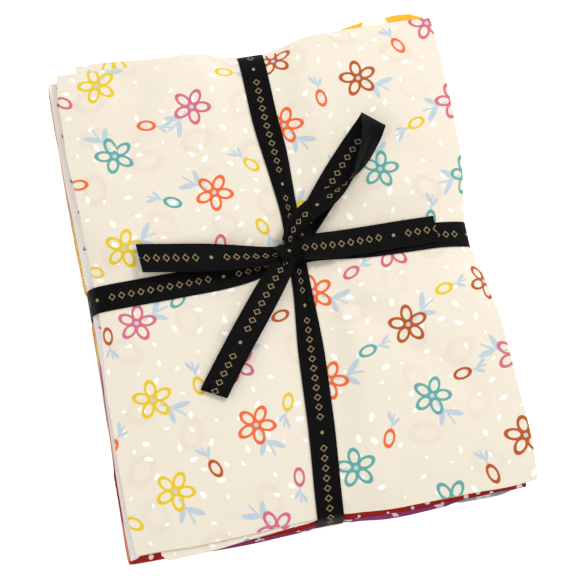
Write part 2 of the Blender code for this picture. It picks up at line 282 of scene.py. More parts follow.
@dataclass(frozen=True)
class Toss:
    """A half-drop layout, one motif to a cell, each turned and shifted its own way.

    Fields: the cell's side in millimetres, how far a motif wanders in it as a share of the side, a seed, the
    share of cells that hold a motif, and the layout's shift as a share of the side.
    """

    side: float
    wander: float
    seed: float
    filled: float = 1.0
    shift: float = 0.0

    def cell(self, u: Wire, v: Wire) -> tuple[Wire, Wire, Wire, Wire]:
        """Finds the place within the cell.

        Args:
            u: Flat place across, in millimetres.
            v: Flat place along, in millimetres.

        Returns:
            The place from the motif's middle in its own turned axes, a number that picks its ink, and a mask
            that is 1 where the cell holds a motif.
        """
        tree = u.tree
        a = u / self.side + self.shift
        column = a.math("FLOOR")
        b = v / self.side + column * 0.5 + self.shift * 0.37
        row = b.math("FLOOR")
        key = add_node(tree, "ShaderNodeCombineXYZ", {0: column, 1: row, 2: self.seed})
        noise = add_node(tree, "ShaderNodeTexWhiteNoise", {"Vector": key.outputs[0]}, noise_dimensions="3D")
        parts = add_node(tree, "ShaderNodeSeparateColor", {0: noise.outputs["Color"]})
        r, g, pick = (Wire(tree, parts.outputs[k]) for k in range(3))
        turn = Wire(tree, noise.outputs["Value"]) * (2 * math.pi)
        x = (a - column - 0.5 - (r - 0.5) * self.wander) * self.side
        y = (b - row - 0.5 - (g - 0.5) * self.wander) * self.side
        place = add_node(tree, "ShaderNodeCombineXYZ", {0: x, 1: y})
        about = {"Vector": place.outputs[0], "Angle": turn}
        turned = add_node(tree, "ShaderNodeVectorRotate", about, rotation_type="Z_AXIS")
        split = add_node(tree, "ShaderNodeSeparateXYZ", {0: turned.outputs[0]})
        held = (r + g * 7.0).math("FRACT").inside(self.filled, 0.001)
        return Wire(tree, split.outputs[0]), Wire(tree, split.outputs[1]), pick, held


def oval(x: Wire, y: Wire, middle: tuple[float, float], half: tuple[float, float], lean: float = 0.0) -> Wire:
    """How far out a place is of an oval: 1 on its edge, 0 at its middle.

    Args:
        x: Place across.
        y: Place along.
        middle: The oval's middle.
        half: Its half width and half length.
        lean: Its turn in degrees.

    Returns:
        The distance, in the oval's own size.
    """
    dx, dy = x - middle[0], y - middle[1]
    c, s = math.cos(math.radians(lean)), math.sin(math.radians(lean))
    across = (dx * c + dy * s) / half[0]
    along = (dy * c - dx * s) / half[1]
    return (across * across + along * along).math("SQRT")


@dataclass(frozen=True)
class PrintedCotton:
    """Quilting cotton: a plain weave of fine combed yarn, screen printed on one side.

    Fields: the name that its finishes' names start with, the ground colour, the inks in the order that the print
    uses them, the print, its repeat and its motif's size in millimetres, a seed, the yarns' spacing, and how much
    of the ground veils the print on the wrong side.
    """

    name: str
    ground: str
    inks: tuple[str, ...]
    print: Print
    repeat: float = 12.0
    motif: float = 2.0
    seed: float = 1.0
    # Real yarns lie about 0.37 mm apart; drawn at 0.62 so that a trace of the weave shows in a picture of it
    yarn: float = 0.62
    veil: float = 0.72
    roughness: float = 0.88

    def material(self, wrong_side: bool) -> bpy.types.Material:
        """Makes the finish.

        Args:
            wrong_side: Whether it is the unprinted side, where the print shows through faintly.

        Returns:
            The material.
        """
        # Crossed yarns scatter light all ways: the eye sees a soft, matt, slightly uneven face without a gleam,
        # with flat and crisp print on it. The wrong side shows the bare weave and a trace of the ink
        side = "wrong_side" if wrong_side else "screen_printed"
        made = bpy.data.materials.new(f"{self.name}_plain_weave_{side}")
        made.use_nodes = True
        tree = made.node_tree
        shader = tree.nodes["Principled BSDF"]
        flat = add_node(tree, "ShaderNodeUVMap", uv_map=UV_NAME)
        split = add_node(tree, "ShaderNodeSeparateXYZ", {0: flat.outputs[0]})
        u, v = (Wire(tree, split.outputs[k]) / MM for k in range(2))
        colour = self.printed(tree, u, v)
        if wrong_side:
            colour = self.blend(tree, self.veil, colour, linear(self.ground))
        slubs = self.slubs(tree, flat.outputs[0])
        tone = {"Value": slubs * 0.13 + 0.935, "Color": colour}
        toned = add_node(tree, "ShaderNodeHueSaturation", tone)
        tree.links.new(toned.outputs[0], shader.inputs["Base Color"])
        weave = (u * (math.pi / self.yarn)).math("SINE") * (v * (math.pi / self.yarn)).math("SINE")
        relief = {"Strength": 0.35, "Distance": 0.22 * MM, "Height": weave * 0.6 + slubs * 1.2}
        bump = add_node(tree, "ShaderNodeBump", relief)
        tree.links.new(bump.outputs[0], shader.inputs["Normal"])
        shader.inputs["Roughness"].default_value = self.roughness
        shader.inputs["IOR"].default_value = 1.46
        shader.inputs["Specular IOR Level"].default_value = 0.25
        shader.inputs["Sheen Weight"].default_value = 0.12
        shader.inputs["Sheen Roughness"].default_value = 0.6
        return made

    def blend(
        self, tree: bpy.types.NodeTree, share: Wire | float, low: Colour, high: Colour
    ) -> bpy.types.NodeSocket:
        """Two colours mixed by a share.

        Args:
            tree: The material's tree.
            share: 0 for the first colour and 1 for the second.
            low: The first colour, or its socket.
            high: The second colour, or its socket.

        Returns:
            The mixed colour's socket.
        """
        mixed = add_node(tree, "ShaderNodeMix", {0: share, 6: low, 7: high}, data_type="RGBA")
        return mixed.outputs[2]

    def pick_ink(self, pick: Wire, inks: tuple[str, ...]) -> bpy.types.NodeSocket:
        """One of several inks.

        Args:
            pick: A number from 0 to 1 that picks it.
            inks: The inks' hex colours.

        Returns:
            The ink's socket.
        """
        ramp = add_node(pick.tree, "ShaderNodeValToRGB", {0: pick})
        ramp.color_ramp.interpolation = "CONSTANT"
        stops = ramp.color_ramp.elements
        while len(stops) < len(inks):
            stops.new(0.5)
        for k in range(len(inks)):
            stops[k].position = k / len(inks)
        for k, ink in enumerate(inks):
            stops[k].color = linear(ink)
        return ramp.outputs[0]

    def slubs(self, tree: bpy.types.NodeTree, flat: bpy.types.NodeSocket) -> Wire:
        """Thicker and thinner yarns both ways, as a number round 0.5.

        Args:
            tree: The material's tree.
            flat: The flat place, in metres.

        Returns:
            The unevenness.
        """
        both = []
        for scale in ((1400.0, 90.0, 1.0), (90.0, 1400.0, 1.0)):
            stretched = add_node(tree, "ShaderNodeMapping", {"Vector": flat, "Scale": scale})
            grain = {"Vector": stretched.outputs[0], "Scale": 1.0, "Detail": 2.0}
            noise = add_node(tree, "ShaderNodeTexNoise", grain)
            both.append(Wire(tree, noise.outputs["Fac"]))
        return (both[0] + both[1]) * 0.5

    def printed(self, tree: bpy.types.NodeTree, u: Wire, v: Wire) -> Colour:
        """The ground with its print on it.

        Args:
            tree: The material's tree.
            u: Flat place across, in millimetres.
            v: Flat place along, in millimetres.

        Returns:
            The colour or its socket.
        """
        layers = {
            Print.TOSSED_BLOOMS: self.tossed_blooms,
            Print.PIN_DOTS: self.pin_dots,
            Print.SPOTS: self.spots,
            Print.BLOOMS: self.blooms,
            Print.SPRIGS: self.sprigs,
            Print.STRIPES: self.stripes,
            Print.CHECK: self.check,
            Print.HATCH: self.hatch,
        }[self.print](u, v)
        colour: Colour = linear(self.ground)
        for mask, ink in layers:
            colour = self.blend(tree, mask, colour, ink)
        return colour

    def outline(self, x: Wire, y: Wire, middle: Place, half: Place, line: float = 0.25) -> Wire:
        """An oval drawn in a line.

        Args:
            x: Place across.
            y: Place along.
            middle: The oval's middle.
            half: Its half width and half length.
            line: Half of the line's width, as a share of the oval.

        Returns:
            The mask.
        """
        return (oval(x, y, middle, half) - 1.0).size().inside(line, 0.12)

    def leaf(self, x: Wire, y: Wire, middle: Place, half: Place, lean: float, soft: float) -> Wire:
        """A filled oval that leans."""
        return oval(x, y, middle, half, lean).inside(1.0, soft)

    def tossed_blooms(self, u: Wire, v: Wire) -> Layers:
        """A trace of the layer below, then white petals, buds on stems and outlined blooms, all tossed.

        Args:
            u: Flat place across, in millimetres.
            v: Flat place along, in millimetres.

        Returns:
            The masks, each with its ink.
        """
        white, stem_ink, *bright = self.inks
        x, y, pick, held = Toss(self.repeat * 0.62, 0.3, self.seed + 20, filled=0.8).cell(u, v)
        trace = (oval(x, y, (0.0, 0.0), (5.5, 8.0)) - 1.0).size().inside(0.28, 0.3)
        layers: Layers = [(trace * held * (pick * 0.07 + 0.05), linear("B98F7C"))]
        x, y, pick, held = Toss(self.repeat * 0.245, 0.6, self.seed, filled=0.76).cell(u, v)
        petal = oval(x, y, (0.0, 0.0), (1.15, 2.0)).inside(pick * 0.8 + 0.5, 0.2) * held
        layers.append((petal, linear(white)))
        x, y, pick, _ = Toss(self.repeat, 0.2, self.seed + 3, shift=0.5).cell(u, v)
        stem = x.size().inside(0.5) * (y + 3.4).size().inside(5.6)
        leaves = self.leaf(x, y, (2.0, -6.4), (1.05, 3.4), 30, 0.2)
        leaves = leaves.math("MAXIMUM", self.leaf(x, y, (-2.0, -4.4), (0.95, 3.0), -32, 0.2))
        layers.append((stem.math("MAXIMUM", leaves), linear(stem_ink)))
        bud = self.outline(x, y, (0.0, 5.6), (2.7, 4.6), 0.24)
        layers.append((bud, self.pick_ink(pick, tuple(bright[1:] + bright[:1]))))
        x, y, pick, _ = Toss(self.repeat, 0.22, self.seed + 8).cell(u, v)
        lower = y + 7.0
        stem = (x + lower * lower * 0.014).size().inside(0.6) * lower.size().inside(8.0)
        leaves = self.leaf(x, y, (3.4, -10.0), (1.7, 5.4), 40, 0.15)
        leaves = leaves.math("MAXIMUM", self.leaf(x, y, (-3.8, -7.4), (1.6, 5.0), -46, 0.15))
        layers.append((stem.math("MAXIMUM", leaves), linear(stem_ink)))
        up = y - 5.5
        out = (x * x + up * up).math("SQRT")
        sector = 2 * math.pi / 5
        turn = (up.math("ARCTAN2", x) / sector + 5.0).math("FRACT") * sector - sector / 2
        radial, tangent = out * turn.math("COSINE"), out * turn.math("SINE")
        petals = self.outline(tangent, radial, (0.0, 6.2), (2.8, 4.4), 0.26)
        layers.append((petals, self.pick_ink(pick, tuple(bright))))
        layers.append((out.inside(1.3), linear(stem_ink)))
        return layers

    def pin_dots(self, u: Wire, v: Wire) -> Layers:
        """A close half-drop of small dots, with a pair of leaves tossed here and there.

        Args:
            u: Flat place across, in millimetres.
            v: Flat place along, in millimetres.

        Returns:
            The masks, each with its ink.
        """
        x, y, _, _ = Toss(self.repeat, 0.0, self.seed).cell(u, v)
        layers: Layers = [((x * x + y * y).math("SQRT").inside(self.motif), linear(self.inks[0]))]
        if len(self.inks) > 1:
            x, y, _, held = Toss(self.repeat * 3.4, 0.3, self.seed + 4, filled=0.6).cell(u, v)
            layers.append((self.leaf_pair(x, y, self.motif * 2.4) * held, linear(self.inks[1])))
        return layers

    def leaf_pair(self, x: Wire, y: Wire, size: float) -> Wire:
        """Two small leaves that meet at their stalk.

        Args:
            x: Place across, from the stalk.
            y: Place along.
            size: The pair's width in millimetres.

        Returns:
            The mask.
        """
        half = (size * 0.32, size * 0.75)
        right = self.leaf(x, y, (size * 0.4, 0.0), half, -38, 0.2)
        return right.math("MAXIMUM", self.leaf(x, y, (-size * 0.4, 0.0), half, 38, 0.2))

    def spots(self, u: Wire, v: Wire) -> Layers:
        """Round spots of uneven size and place.

        Args:
            u: Flat place across, in millimetres.
            v: Flat place along, in millimetres.

        Returns:
            The mask with its inks.
        """
        x, y, pick, held = Toss(self.repeat, 0.45, self.seed, filled=0.85).cell(u, v)
        spots = (x * x + y * y).math("SQRT").inside(pick * self.motif * 0.7 + self.motif * 0.5)
        return [(spots * held, self.pick_ink((pick * 3.0).math("FRACT"), self.inks))]

    def blooms(self, u: Wire, v: Wire) -> Layers:
        """Filled five-petal flowers with a round eye.

        Args:
            u: Flat place across, in millimetres.
            v: Flat place along, in millimetres.

        Returns:
            The masks, each with its ink.
        """
        x, y, pick, held = Toss(self.repeat, 0.2, self.seed, filled=0.9).cell(u, v)
        out = (x * x + y * y).math("SQRT")
        lobes = (y.math("ARCTAN2", x) * 5.0).math("COSINE") * (self.motif * 0.24) + self.motif * 0.76
        petals = out.inside(lobes) * held
        eye = out.inside(self.motif * 0.24) * held
        return [(petals, self.pick_ink(pick, self.inks)), (eye, linear(self.ground))]

    def sprigs(self, u: Wire, v: Wire) -> Layers:
        """Pairs of leaves on every cell."""
        x, y, pick, held = Toss(self.repeat, 0.3, self.seed, filled=0.92).cell(u, v)
        return [(self.leaf_pair(x, y, self.motif) * held, self.pick_ink(pick, self.inks))]

    def stripes(self, u: Wire, _v: Wire) -> Layers:
        """Stripes along the length, one ink in turn with the next.

        Args:
            u: Flat place across, in millimetres.

        Returns:
            The masks, each with its ink.
        """
        turn = self.repeat * len(self.inks)
        layers: Layers = []
        for k, ink in enumerate(self.inks):
            place = ((u / turn + k / len(self.inks)).math("FRACT") - 0.5).size() * turn
            layers.append((place.inside(self.motif / 2), linear(ink)))
        return layers

    def check(self, u: Wire, v: Wire) -> Layers:
        """A gingham: both ways half strong, and full where they cross."""
        bars = [((w / self.repeat).math("FRACT") - 0.5).size().inside(0.25, 0.03) for w in (u, v)]
        return [((bars[0] + bars[1]) * 0.45, linear(self.inks[0]))]

    def hatch(self, u: Wire, v: Wire) -> Layers:
        """Fine crossed lines, as if drawn by hand.

        Args:
            u: Flat place across, in millimetres.
            v: Flat place along, in millimetres.

        Returns:
            The masks, each with its ink.
        """
        layers: Layers = []
        for w, other, seed in ((u, v, 3.0), (v, u, 11.0)):
            drift = (other / 9.0 + seed).math("SINE") * 0.35
            line = (((w + drift) / self.repeat).math("FRACT") - 0.5).size() * self.repeat
            layers.append((line.inside(self.motif / 2), linear(self.inks[0])))
        return layers


@dataclass(frozen=True)
class WovenRibbon:
    """Polyester ribbon: woven with close ribs across and a selvedge at both edges, dyed black.

    On its face a chain of small open lozenges is printed in dull gold, and its back is bare. Fields: the
    finish's name, its colours, the ribbon's width, the ribs' spacing, one lozenge's length along the ribbon, how
    many are in a chain, and the pause between chains, in lozenges. Lengths are in millimetres.
    """

    name: str = "black_polyester_ribbon_woven"
    ground: str = "0A0A0B"
    gold: str = "A8946A"
    width: float = 16.0
    # Ribs this fine are real, at 0.5 mm; drawn at 0.8 so that they show
    rib: float = 0.8
    link: float = 5.6
    links: int = 11
    pause: float = 2.2

    def material(self, back: bool) -> bpy.types.Material:
        """Makes the finish.

        Args:
            back: Whether it is the bare side.

        Returns:
            The material.
        """
        # Fine ribs of smooth yarn: the eye sees a deep, even black that is dull from above and gleams a little
        # at a slant, between two slightly thicker edges
        made = bpy.data.materials.new(self.name + ("_back" if back else "_face"))
        made.use_nodes = True
        tree = made.node_tree
        shader = tree.nodes["Principled BSDF"]
        flat = add_node(tree, "ShaderNodeUVMap", uv_map=UV_NAME)
        split = add_node(tree, "ShaderNodeSeparateXYZ", {0: flat.outputs[0]})
        along, across = (Wire(tree, split.outputs[k]) / MM for k in range(2))
        side = (across - self.width / 2).size()
        fine = {"Vector": flat.outputs[0], "Scale": 2200.0, "Detail": 2.0}
        grain = Wire(tree, add_node(tree, "ShaderNodeTexNoise", fine).outputs["Fac"])
        within = side.inside(self.width / 2 - 0.9, 0.3)
        tone = {"Value": grain * 0.5 + 0.75, "Color": linear(self.ground)}
        colour = add_node(tree, "ShaderNodeHueSaturation", tone).outputs[0]
        if not back:
            mask = self.ornament(along, side) * (grain * 1.6).math("ADD", 0.1, clamp=True)
            gilt = {0: mask, 6: colour, 7: linear(self.gold)}
            colour = add_node(tree, "ShaderNodeMix", gilt, data_type="RGBA").outputs[2]
        tree.links.new(colour, shader.inputs["Base Color"])
        ribs = (along * (2 * math.pi / self.rib)).math("SINE") * within
        relief = {"Strength": 0.5, "Distance": 0.15 * MM, "Height": ribs * 0.7 + within * -0.8 + grain}
        bump = add_node(tree, "ShaderNodeBump", relief)
        tree.links.new(bump.outputs[0], shader.inputs["Normal"])
        shader.inputs["Roughness"].default_value = 0.5
        shader.inputs["IOR"].default_value = 1.5
        shader.inputs["Specular IOR Level"].default_value = 0.05
        return made

    def ornament(self, along: Wire, side: Wire) -> Wire:
        """The chain of lozenges with a dot in each pause.

        Args:
            along: Place along the ribbon, in millimetres.
            side: Distance from its middle line, in millimetres.

        Returns:
            The mask of the gold.
        """
        count = self.links + self.pause
        chain = (along / (self.link * count)).math("FRACT") * count
        step = ((chain.math("FRACT") - 0.5) * self.link).size()
        lozenge = (side / 1.95 + step / 1.75 - 1.0).size().inside(0.17, 0.1) * chain.inside(self.links, 0.01)
        dot_place = (chain - (self.links + self.pause / 2)) * self.link
        dot = (dot_place * dot_place + side * side).math("SQRT").inside(1.0)
        return lozenge.math("MAXIMUM", dot)


@dataclass(frozen=True)
class StudioPaper:
    """Seamless uncoated paper, rolled out over a light table."""

    name: str = "uncoated_paper_on_light_table"
    colour: str = "FDFDFD"
    shade: str = "F8F8F8"
    glow: float = 0.6

    def material(self) -> bpy.types.Material:
        """Makes the finish.

        Returns:
            The material.
        """
        # Loose fibres without a coat: the eye sees a matt, nearly even white, and the glow thins all shadows
        made = bpy.data.materials.new(self.name)
        made.use_nodes = True
        tree = made.node_tree
        shader = tree.nodes["Principled BSDF"]
        place = add_node(tree, "ShaderNodeTexCoord")
        pulp = add_node(tree, "ShaderNodeTexNoise", {"Vector": place.outputs["Object"], "Scale": 6.0})
        shades = {0: pulp.outputs["Fac"], 6: linear(self.colour), 7: linear(self.shade)}
        colour = add_node(tree, "ShaderNodeMix", shades, data_type="RGBA")
        tree.links.new(colour.outputs[2], shader.inputs["Base Color"])
        shader.inputs["Roughness"].default_value = 0.9
        shader.inputs["Specular IOR Level"].default_value = 0.1
        shader.inputs["Emission Color"].default_value = linear(self.colour)
        shader.inputs["Emission Strength"].default_value = self.glow
        return made


# ---- The tied stack ----


@dataclass(frozen=True)
class Crease:
    """A soft trough or ridge on the top cloth: its ends, how far it reaches aside and how far it rises."""

    start: Place
    end: Place
    reach: float
    rise: float

    def lift(self, x: Array, y: Array) -> Array:
        """How far it raises the cloth, fading at its ends.

        Args:
            x: Places across.
            y: Places along.

        Returns:
            The rise at each place.
        """
        (ax, ay), (bx, by) = self.start, self.end
        dx, dy = bx - ax, by - ay
        length = math.hypot(dx, dy)
        along = ((x - ax) * dx + (y - ay) * dy) / length
        aside = ((x - ax) * dy - (y - ay) * dx) / length
        ends = smooth(along / (length * 0.35) + 0.5) * smooth((length - along) / (length * 0.35) + 0.5)
        return self.rise * ends * np.exp(-((aside / self.reach) ** 2))


@dataclass(frozen=True)
class TiedStack:
    """The shape that the ribbons give to the cloth in the stack.

    They press it, draw its edges in and let it swell between them. All the pieces are carried by it together,
    so that none crosses another. The pulls and the rims' presses are pairs, for -X and +X or for -Y and +Y.
    """

    pieces: int = 18
    pitch: float = 2.89
    gap: float = 0.45
    half_width: float = 114.5
    half_length: float = 142.0
    # Half of the flat bed under a ribbon, and how far beside it the bed ends, with more of it at the rims
    flat: float = 7.5
    reach: float = 22.0
    fold_reach: float = 30.0
    end_reach: float = 16.0
    # Where the rounded rims begin, across and along
    rim_start: Place = (86.0, 112.0)
    # How deep a ribbon presses at the knot and near the edges, and where and over what length that grows
    press: Place = (3.0, 4.0)
    press_start: float = 24.0
    press_growth: Place = (68.0, 94.0)
    rim_press_x: Place = (6.5, 8.0)
    rim_press_y: Place = (6.0, 7.0)
    rim_drop: float = 1.9
    swell: float = 0.8
    # How far the ribbons draw the edges in, and the share of that at the floor
    pull_x: Place = (3.0, 6.3)
    pull_y: Place = (1.2, 5.2)
    floor_pull: float = 0.3
    # How far the ribbon bites into the edges right under it, at the folds at +X and at the two ends, and where
    # it holds every raw side
    bite: Place = (0.7, 0.8)
    bite_reach: float = 3.4
    raw_hold: float = 113.6
    # The rise of the lowest piece over the ribbon under it, and how deep in the stack creases and edges fade
    lift: float = 1.0
    crease_depth: float = 4.0
    edge_depth: float = 11.0
    # Over what length the tables' corners are rounded: the ribbons' lines and the sides
    line_blur: float = 9.0
    side_blur: float = 12.0
    long_line: Table = (
        (-142, -2.0), (-125, -0.9), (-105, 1.2), (-90, 2.6), (-70, 3.9), (-40, 5.7),
        (-17, 7.1), (-2, 7.6), (16, 8.0),
        (34, 8.9), (46, 8.5), (59, 8.1), (71, 7.7), (84, 6.7), (96, 5.7), (118, 5.4), (142, 5.2),
    )
    cross_line: Table = (
        (-112, 5.0), (-92, 4.6), (-70, 4.6), (-20, 5.0), (-5, 8.0), (13, 9.5), (28, 9.4),
        (92, 7.8), (112, 6.5),
    )
    # How far the top cloths stand out past the plain block, along each side
    fold_side: Table = (
        (-142, 0.7), (-124, 2.6), (-104, 2.5), (-78, 1.5), (-49, 0.6), (-28, 1.2), (-18, 4.0),
        (-6, 2.3), (5, 1.1),
        (16, 2.4), (27, 2.9), (49, 1.3), (60, -0.6), (88, 0.6), (121, 0.6), (142, -0.2),
    )
    near_side: Table = (
        (-112, 0.4), (-75, 1.3), (-39, 0.3), (-10, 0.0), (8, 0.2), (39, 2.2), (67, 1.5),
        (103, 1.8), (118, 0.6),
    )
    # x, y, half widths both ways and rise of the swellings between the ribbons
    hills: tuple[tuple[float, ...], ...] = (
        (-58.0, 74.0, 34.0, 46.0, 1.5),
        (60.0, 80.0, 36.0, 40.0, 1.9),
        (-58.0, -66.0, 34.0, 48.0, 1.5),
        (62.0, -64.0, 36.0, 50.0, 2.0),
    )
    creases: tuple[Crease, ...] = (
        Crease((-62.0, 132.0), (-88.0, 80.0), 11.0, -2.6),
        Crease((-44.0, 128.0), (-66.0, 96.0), 7.0, 0.9),
        Crease((22.0, -10.0), (98.0, -92.0), 9.0, -2.3),
        Crease((36.0, -8.0), (74.0, -44.0), 7.0, 1.2),
        Crease((18.0, -10.0), (34.0, -52.0), 4.0, 0.5),
        Crease((46.0, 100.0), (104.0, 40.0), 11.0, -1.5),
        Crease((-96.0, 34.0), (-40.0, 26.0), 8.0, 0.9),
        Crease((-20.0, 60.0), (-64.0, 66.0), 10.0, -0.8),
        Crease((-30.0, -34.0), (-84.0, -112.0), 11.0, -1.5),
        Crease((-20.0, -92.0), (-60.0, -128.0), 9.0, 0.9),
        Crease((34.0, -96.0), (66.0, -128.0), 9.0, 0.8),
    )

    @property
    def height(self) -> float:
        """The loose stack's height."""
        return self.pieces * self.pitch - self.gap

    def rims(self, x: Array, y: Array) -> tuple[Array, Array]:
        """How far each place is into the rounded rims, 1 at the plain block's edge.

        Args:
            x: Places across.
            y: Places along.

        Returns:
            The shares for the sides and for the ends.
        """
        ends = (self.half_width, self.half_length)
        across, along = (
            np.clip((np.abs(place) - start) / (end - start), 0.0, 1.35) ** 2
            for place, start, end in zip((x, y), self.rim_start, ends)
        )
        return across, along

    def beside_ribbons(self, x: Array, y: Array) -> tuple[Array, Array]:
        """How far each place is outside the flat bed of the lengthwise and of the crosswise ribbon.

        Args:
            x: Places across.
            y: Places along.

        Returns:
            Both distances, below 0 within the bed.
        """
        from_long = np.abs(x - read(self.long_line, y, self.line_blur)) - self.flat
        from_cross = np.abs(y - read(self.cross_line, x, self.line_blur)) - self.flat
        return from_long, from_cross

    def under_ribbons(self, x: Array, y: Array) -> tuple[Array, Array]:
        """How much each place is under the lengthwise and the crosswise ribbon, from 0 to 1.

        Args:
            x: Places across.
            y: Places along.

        Returns:
            Both shares.
        """
        rim_x, rim_y = self.rims(x, y)
        from_long, from_cross = self.beside_ribbons(x, y)
        long_share = 1.0 - smooth(from_long / (self.reach + self.end_reach * np.minimum(rim_y, 1.0)))
        cross_share = 1.0 - smooth(from_cross / (self.reach + self.fold_reach * np.minimum(rim_x, 1.0)))
        return long_share, cross_share

    def carry(self, points: Array) -> Array:
        """Carries points of the loose, square stack to their place in the tied one.

        Args:
            points: An array whose last axis is x, y and z in millimetres.

        Returns:
            The same array of points, moved.
        """
        x, y, z = points[..., 0], points[..., 1], points[..., 2]
        rim_x, rim_y = self.rims(x, y)
        long_share, cross_share = self.under_ribbons(x, y)
        both = long_share + cross_share
        either = both - long_share * cross_share
        middle, edge = self.press
        grow_x, grow_y = self.press_growth
        long_press = middle + (edge - middle) * smooth((np.abs(y) - self.press_start) / grow_y)
        long_press += (np.where(y > 0, self.rim_press_y[1], self.rim_press_y[0]) - edge) * rim_y
        cross_press = middle + (edge - middle) * smooth((np.abs(x) - self.press_start) / grow_x)
        cross_press += (np.where(x > 0, self.rim_press_x[1], self.rim_press_x[0]) - edge) * rim_x
        press = either * (long_share * long_press + cross_share * cross_press) / np.maximum(both, 1e-6)
        top = self.height + self.swell * x / self.half_width - self.rim_drop * (rim_x + rim_y) - press
        top += (1.0 - either) * self.hill_rise(x, y)
        lift = self.lift * both
        share = z / self.height
        depth = np.maximum(self.height - z, 0.0)
        new_z = lift + share * (top - lift)
        fade = np.exp(-depth / self.crease_depth) * (1.0 - either)
        new_z += fade * sum(crease.lift(x, y) for crease in self.creases)
        pull = self.floor_pull + (1.0 - self.floor_pull) * share * share
        out = np.exp(-depth / self.edge_depth)
        pull_x = np.where(x > 0, self.pull_x[1], -self.pull_x[0]) * rim_x * cross_share * pull
        pull_y = np.where(y > 0, self.pull_y[1], -self.pull_y[0]) * rim_y * long_share * pull
        from_long, from_cross = self.beside_ribbons(x, y)
        bitten = 1.0 - smooth(from_cross / self.bite_reach)
        pull_x += np.where(x > 0, self.bite[0], 0.0) * rim_x * bitten
        pull_x += np.minimum(x - pull_x + self.raw_hold, 0.0) * bitten
        pull_y += self.bite[1] * np.sign(y) * rim_y * (1.0 - smooth(from_long / self.bite_reach))
        folds, near = read(self.fold_side, y, self.side_blur), read(self.near_side, x, self.side_blur)
        out_x = np.where(x > 0, folds, 0.0) * np.minimum(rim_x, 1.0) * out
        out_y = np.where(y < 0, -near, 0.0) * np.minimum(rim_y, 1.0) * out
        return np.stack([x - pull_x + out_x, y - pull_y + out_y, new_z], -1)

    def hill_rise(self, x: Array, y: Array) -> Array:
        """How far the swellings between the ribbons raise the top.

        Args:
            x: Places across.
            y: Places along.

        Returns:
            The rise at each place.
        """
        rise = np.zeros_like(x)
        for middle_x, middle_y, wide, long, tall in self.hills:
            rise = rise + tall * np.exp(-(((x - middle_x) / wide) ** 2) - ((y - middle_y) / long) ** 2)
        return rise

    def top_at(self, x: Array, y: Array) -> Array:
        """The height of the stack's top face at each place."""
        return self.carry(np.stack([x, y, np.full_like(x, self.height)], -1))[..., 2]


@dataclass(frozen=True)
class SideLines:
    """How far a layer's four sides stand out past the folded block, along each side, in millimetres."""

    raw: Table = ((0.0, 0.0),)
    fold: Table = ((0.0, 0.0),)
    near: Table = ((0.0, 0.0),)
    far: Table = ((0.0, 0.0),)


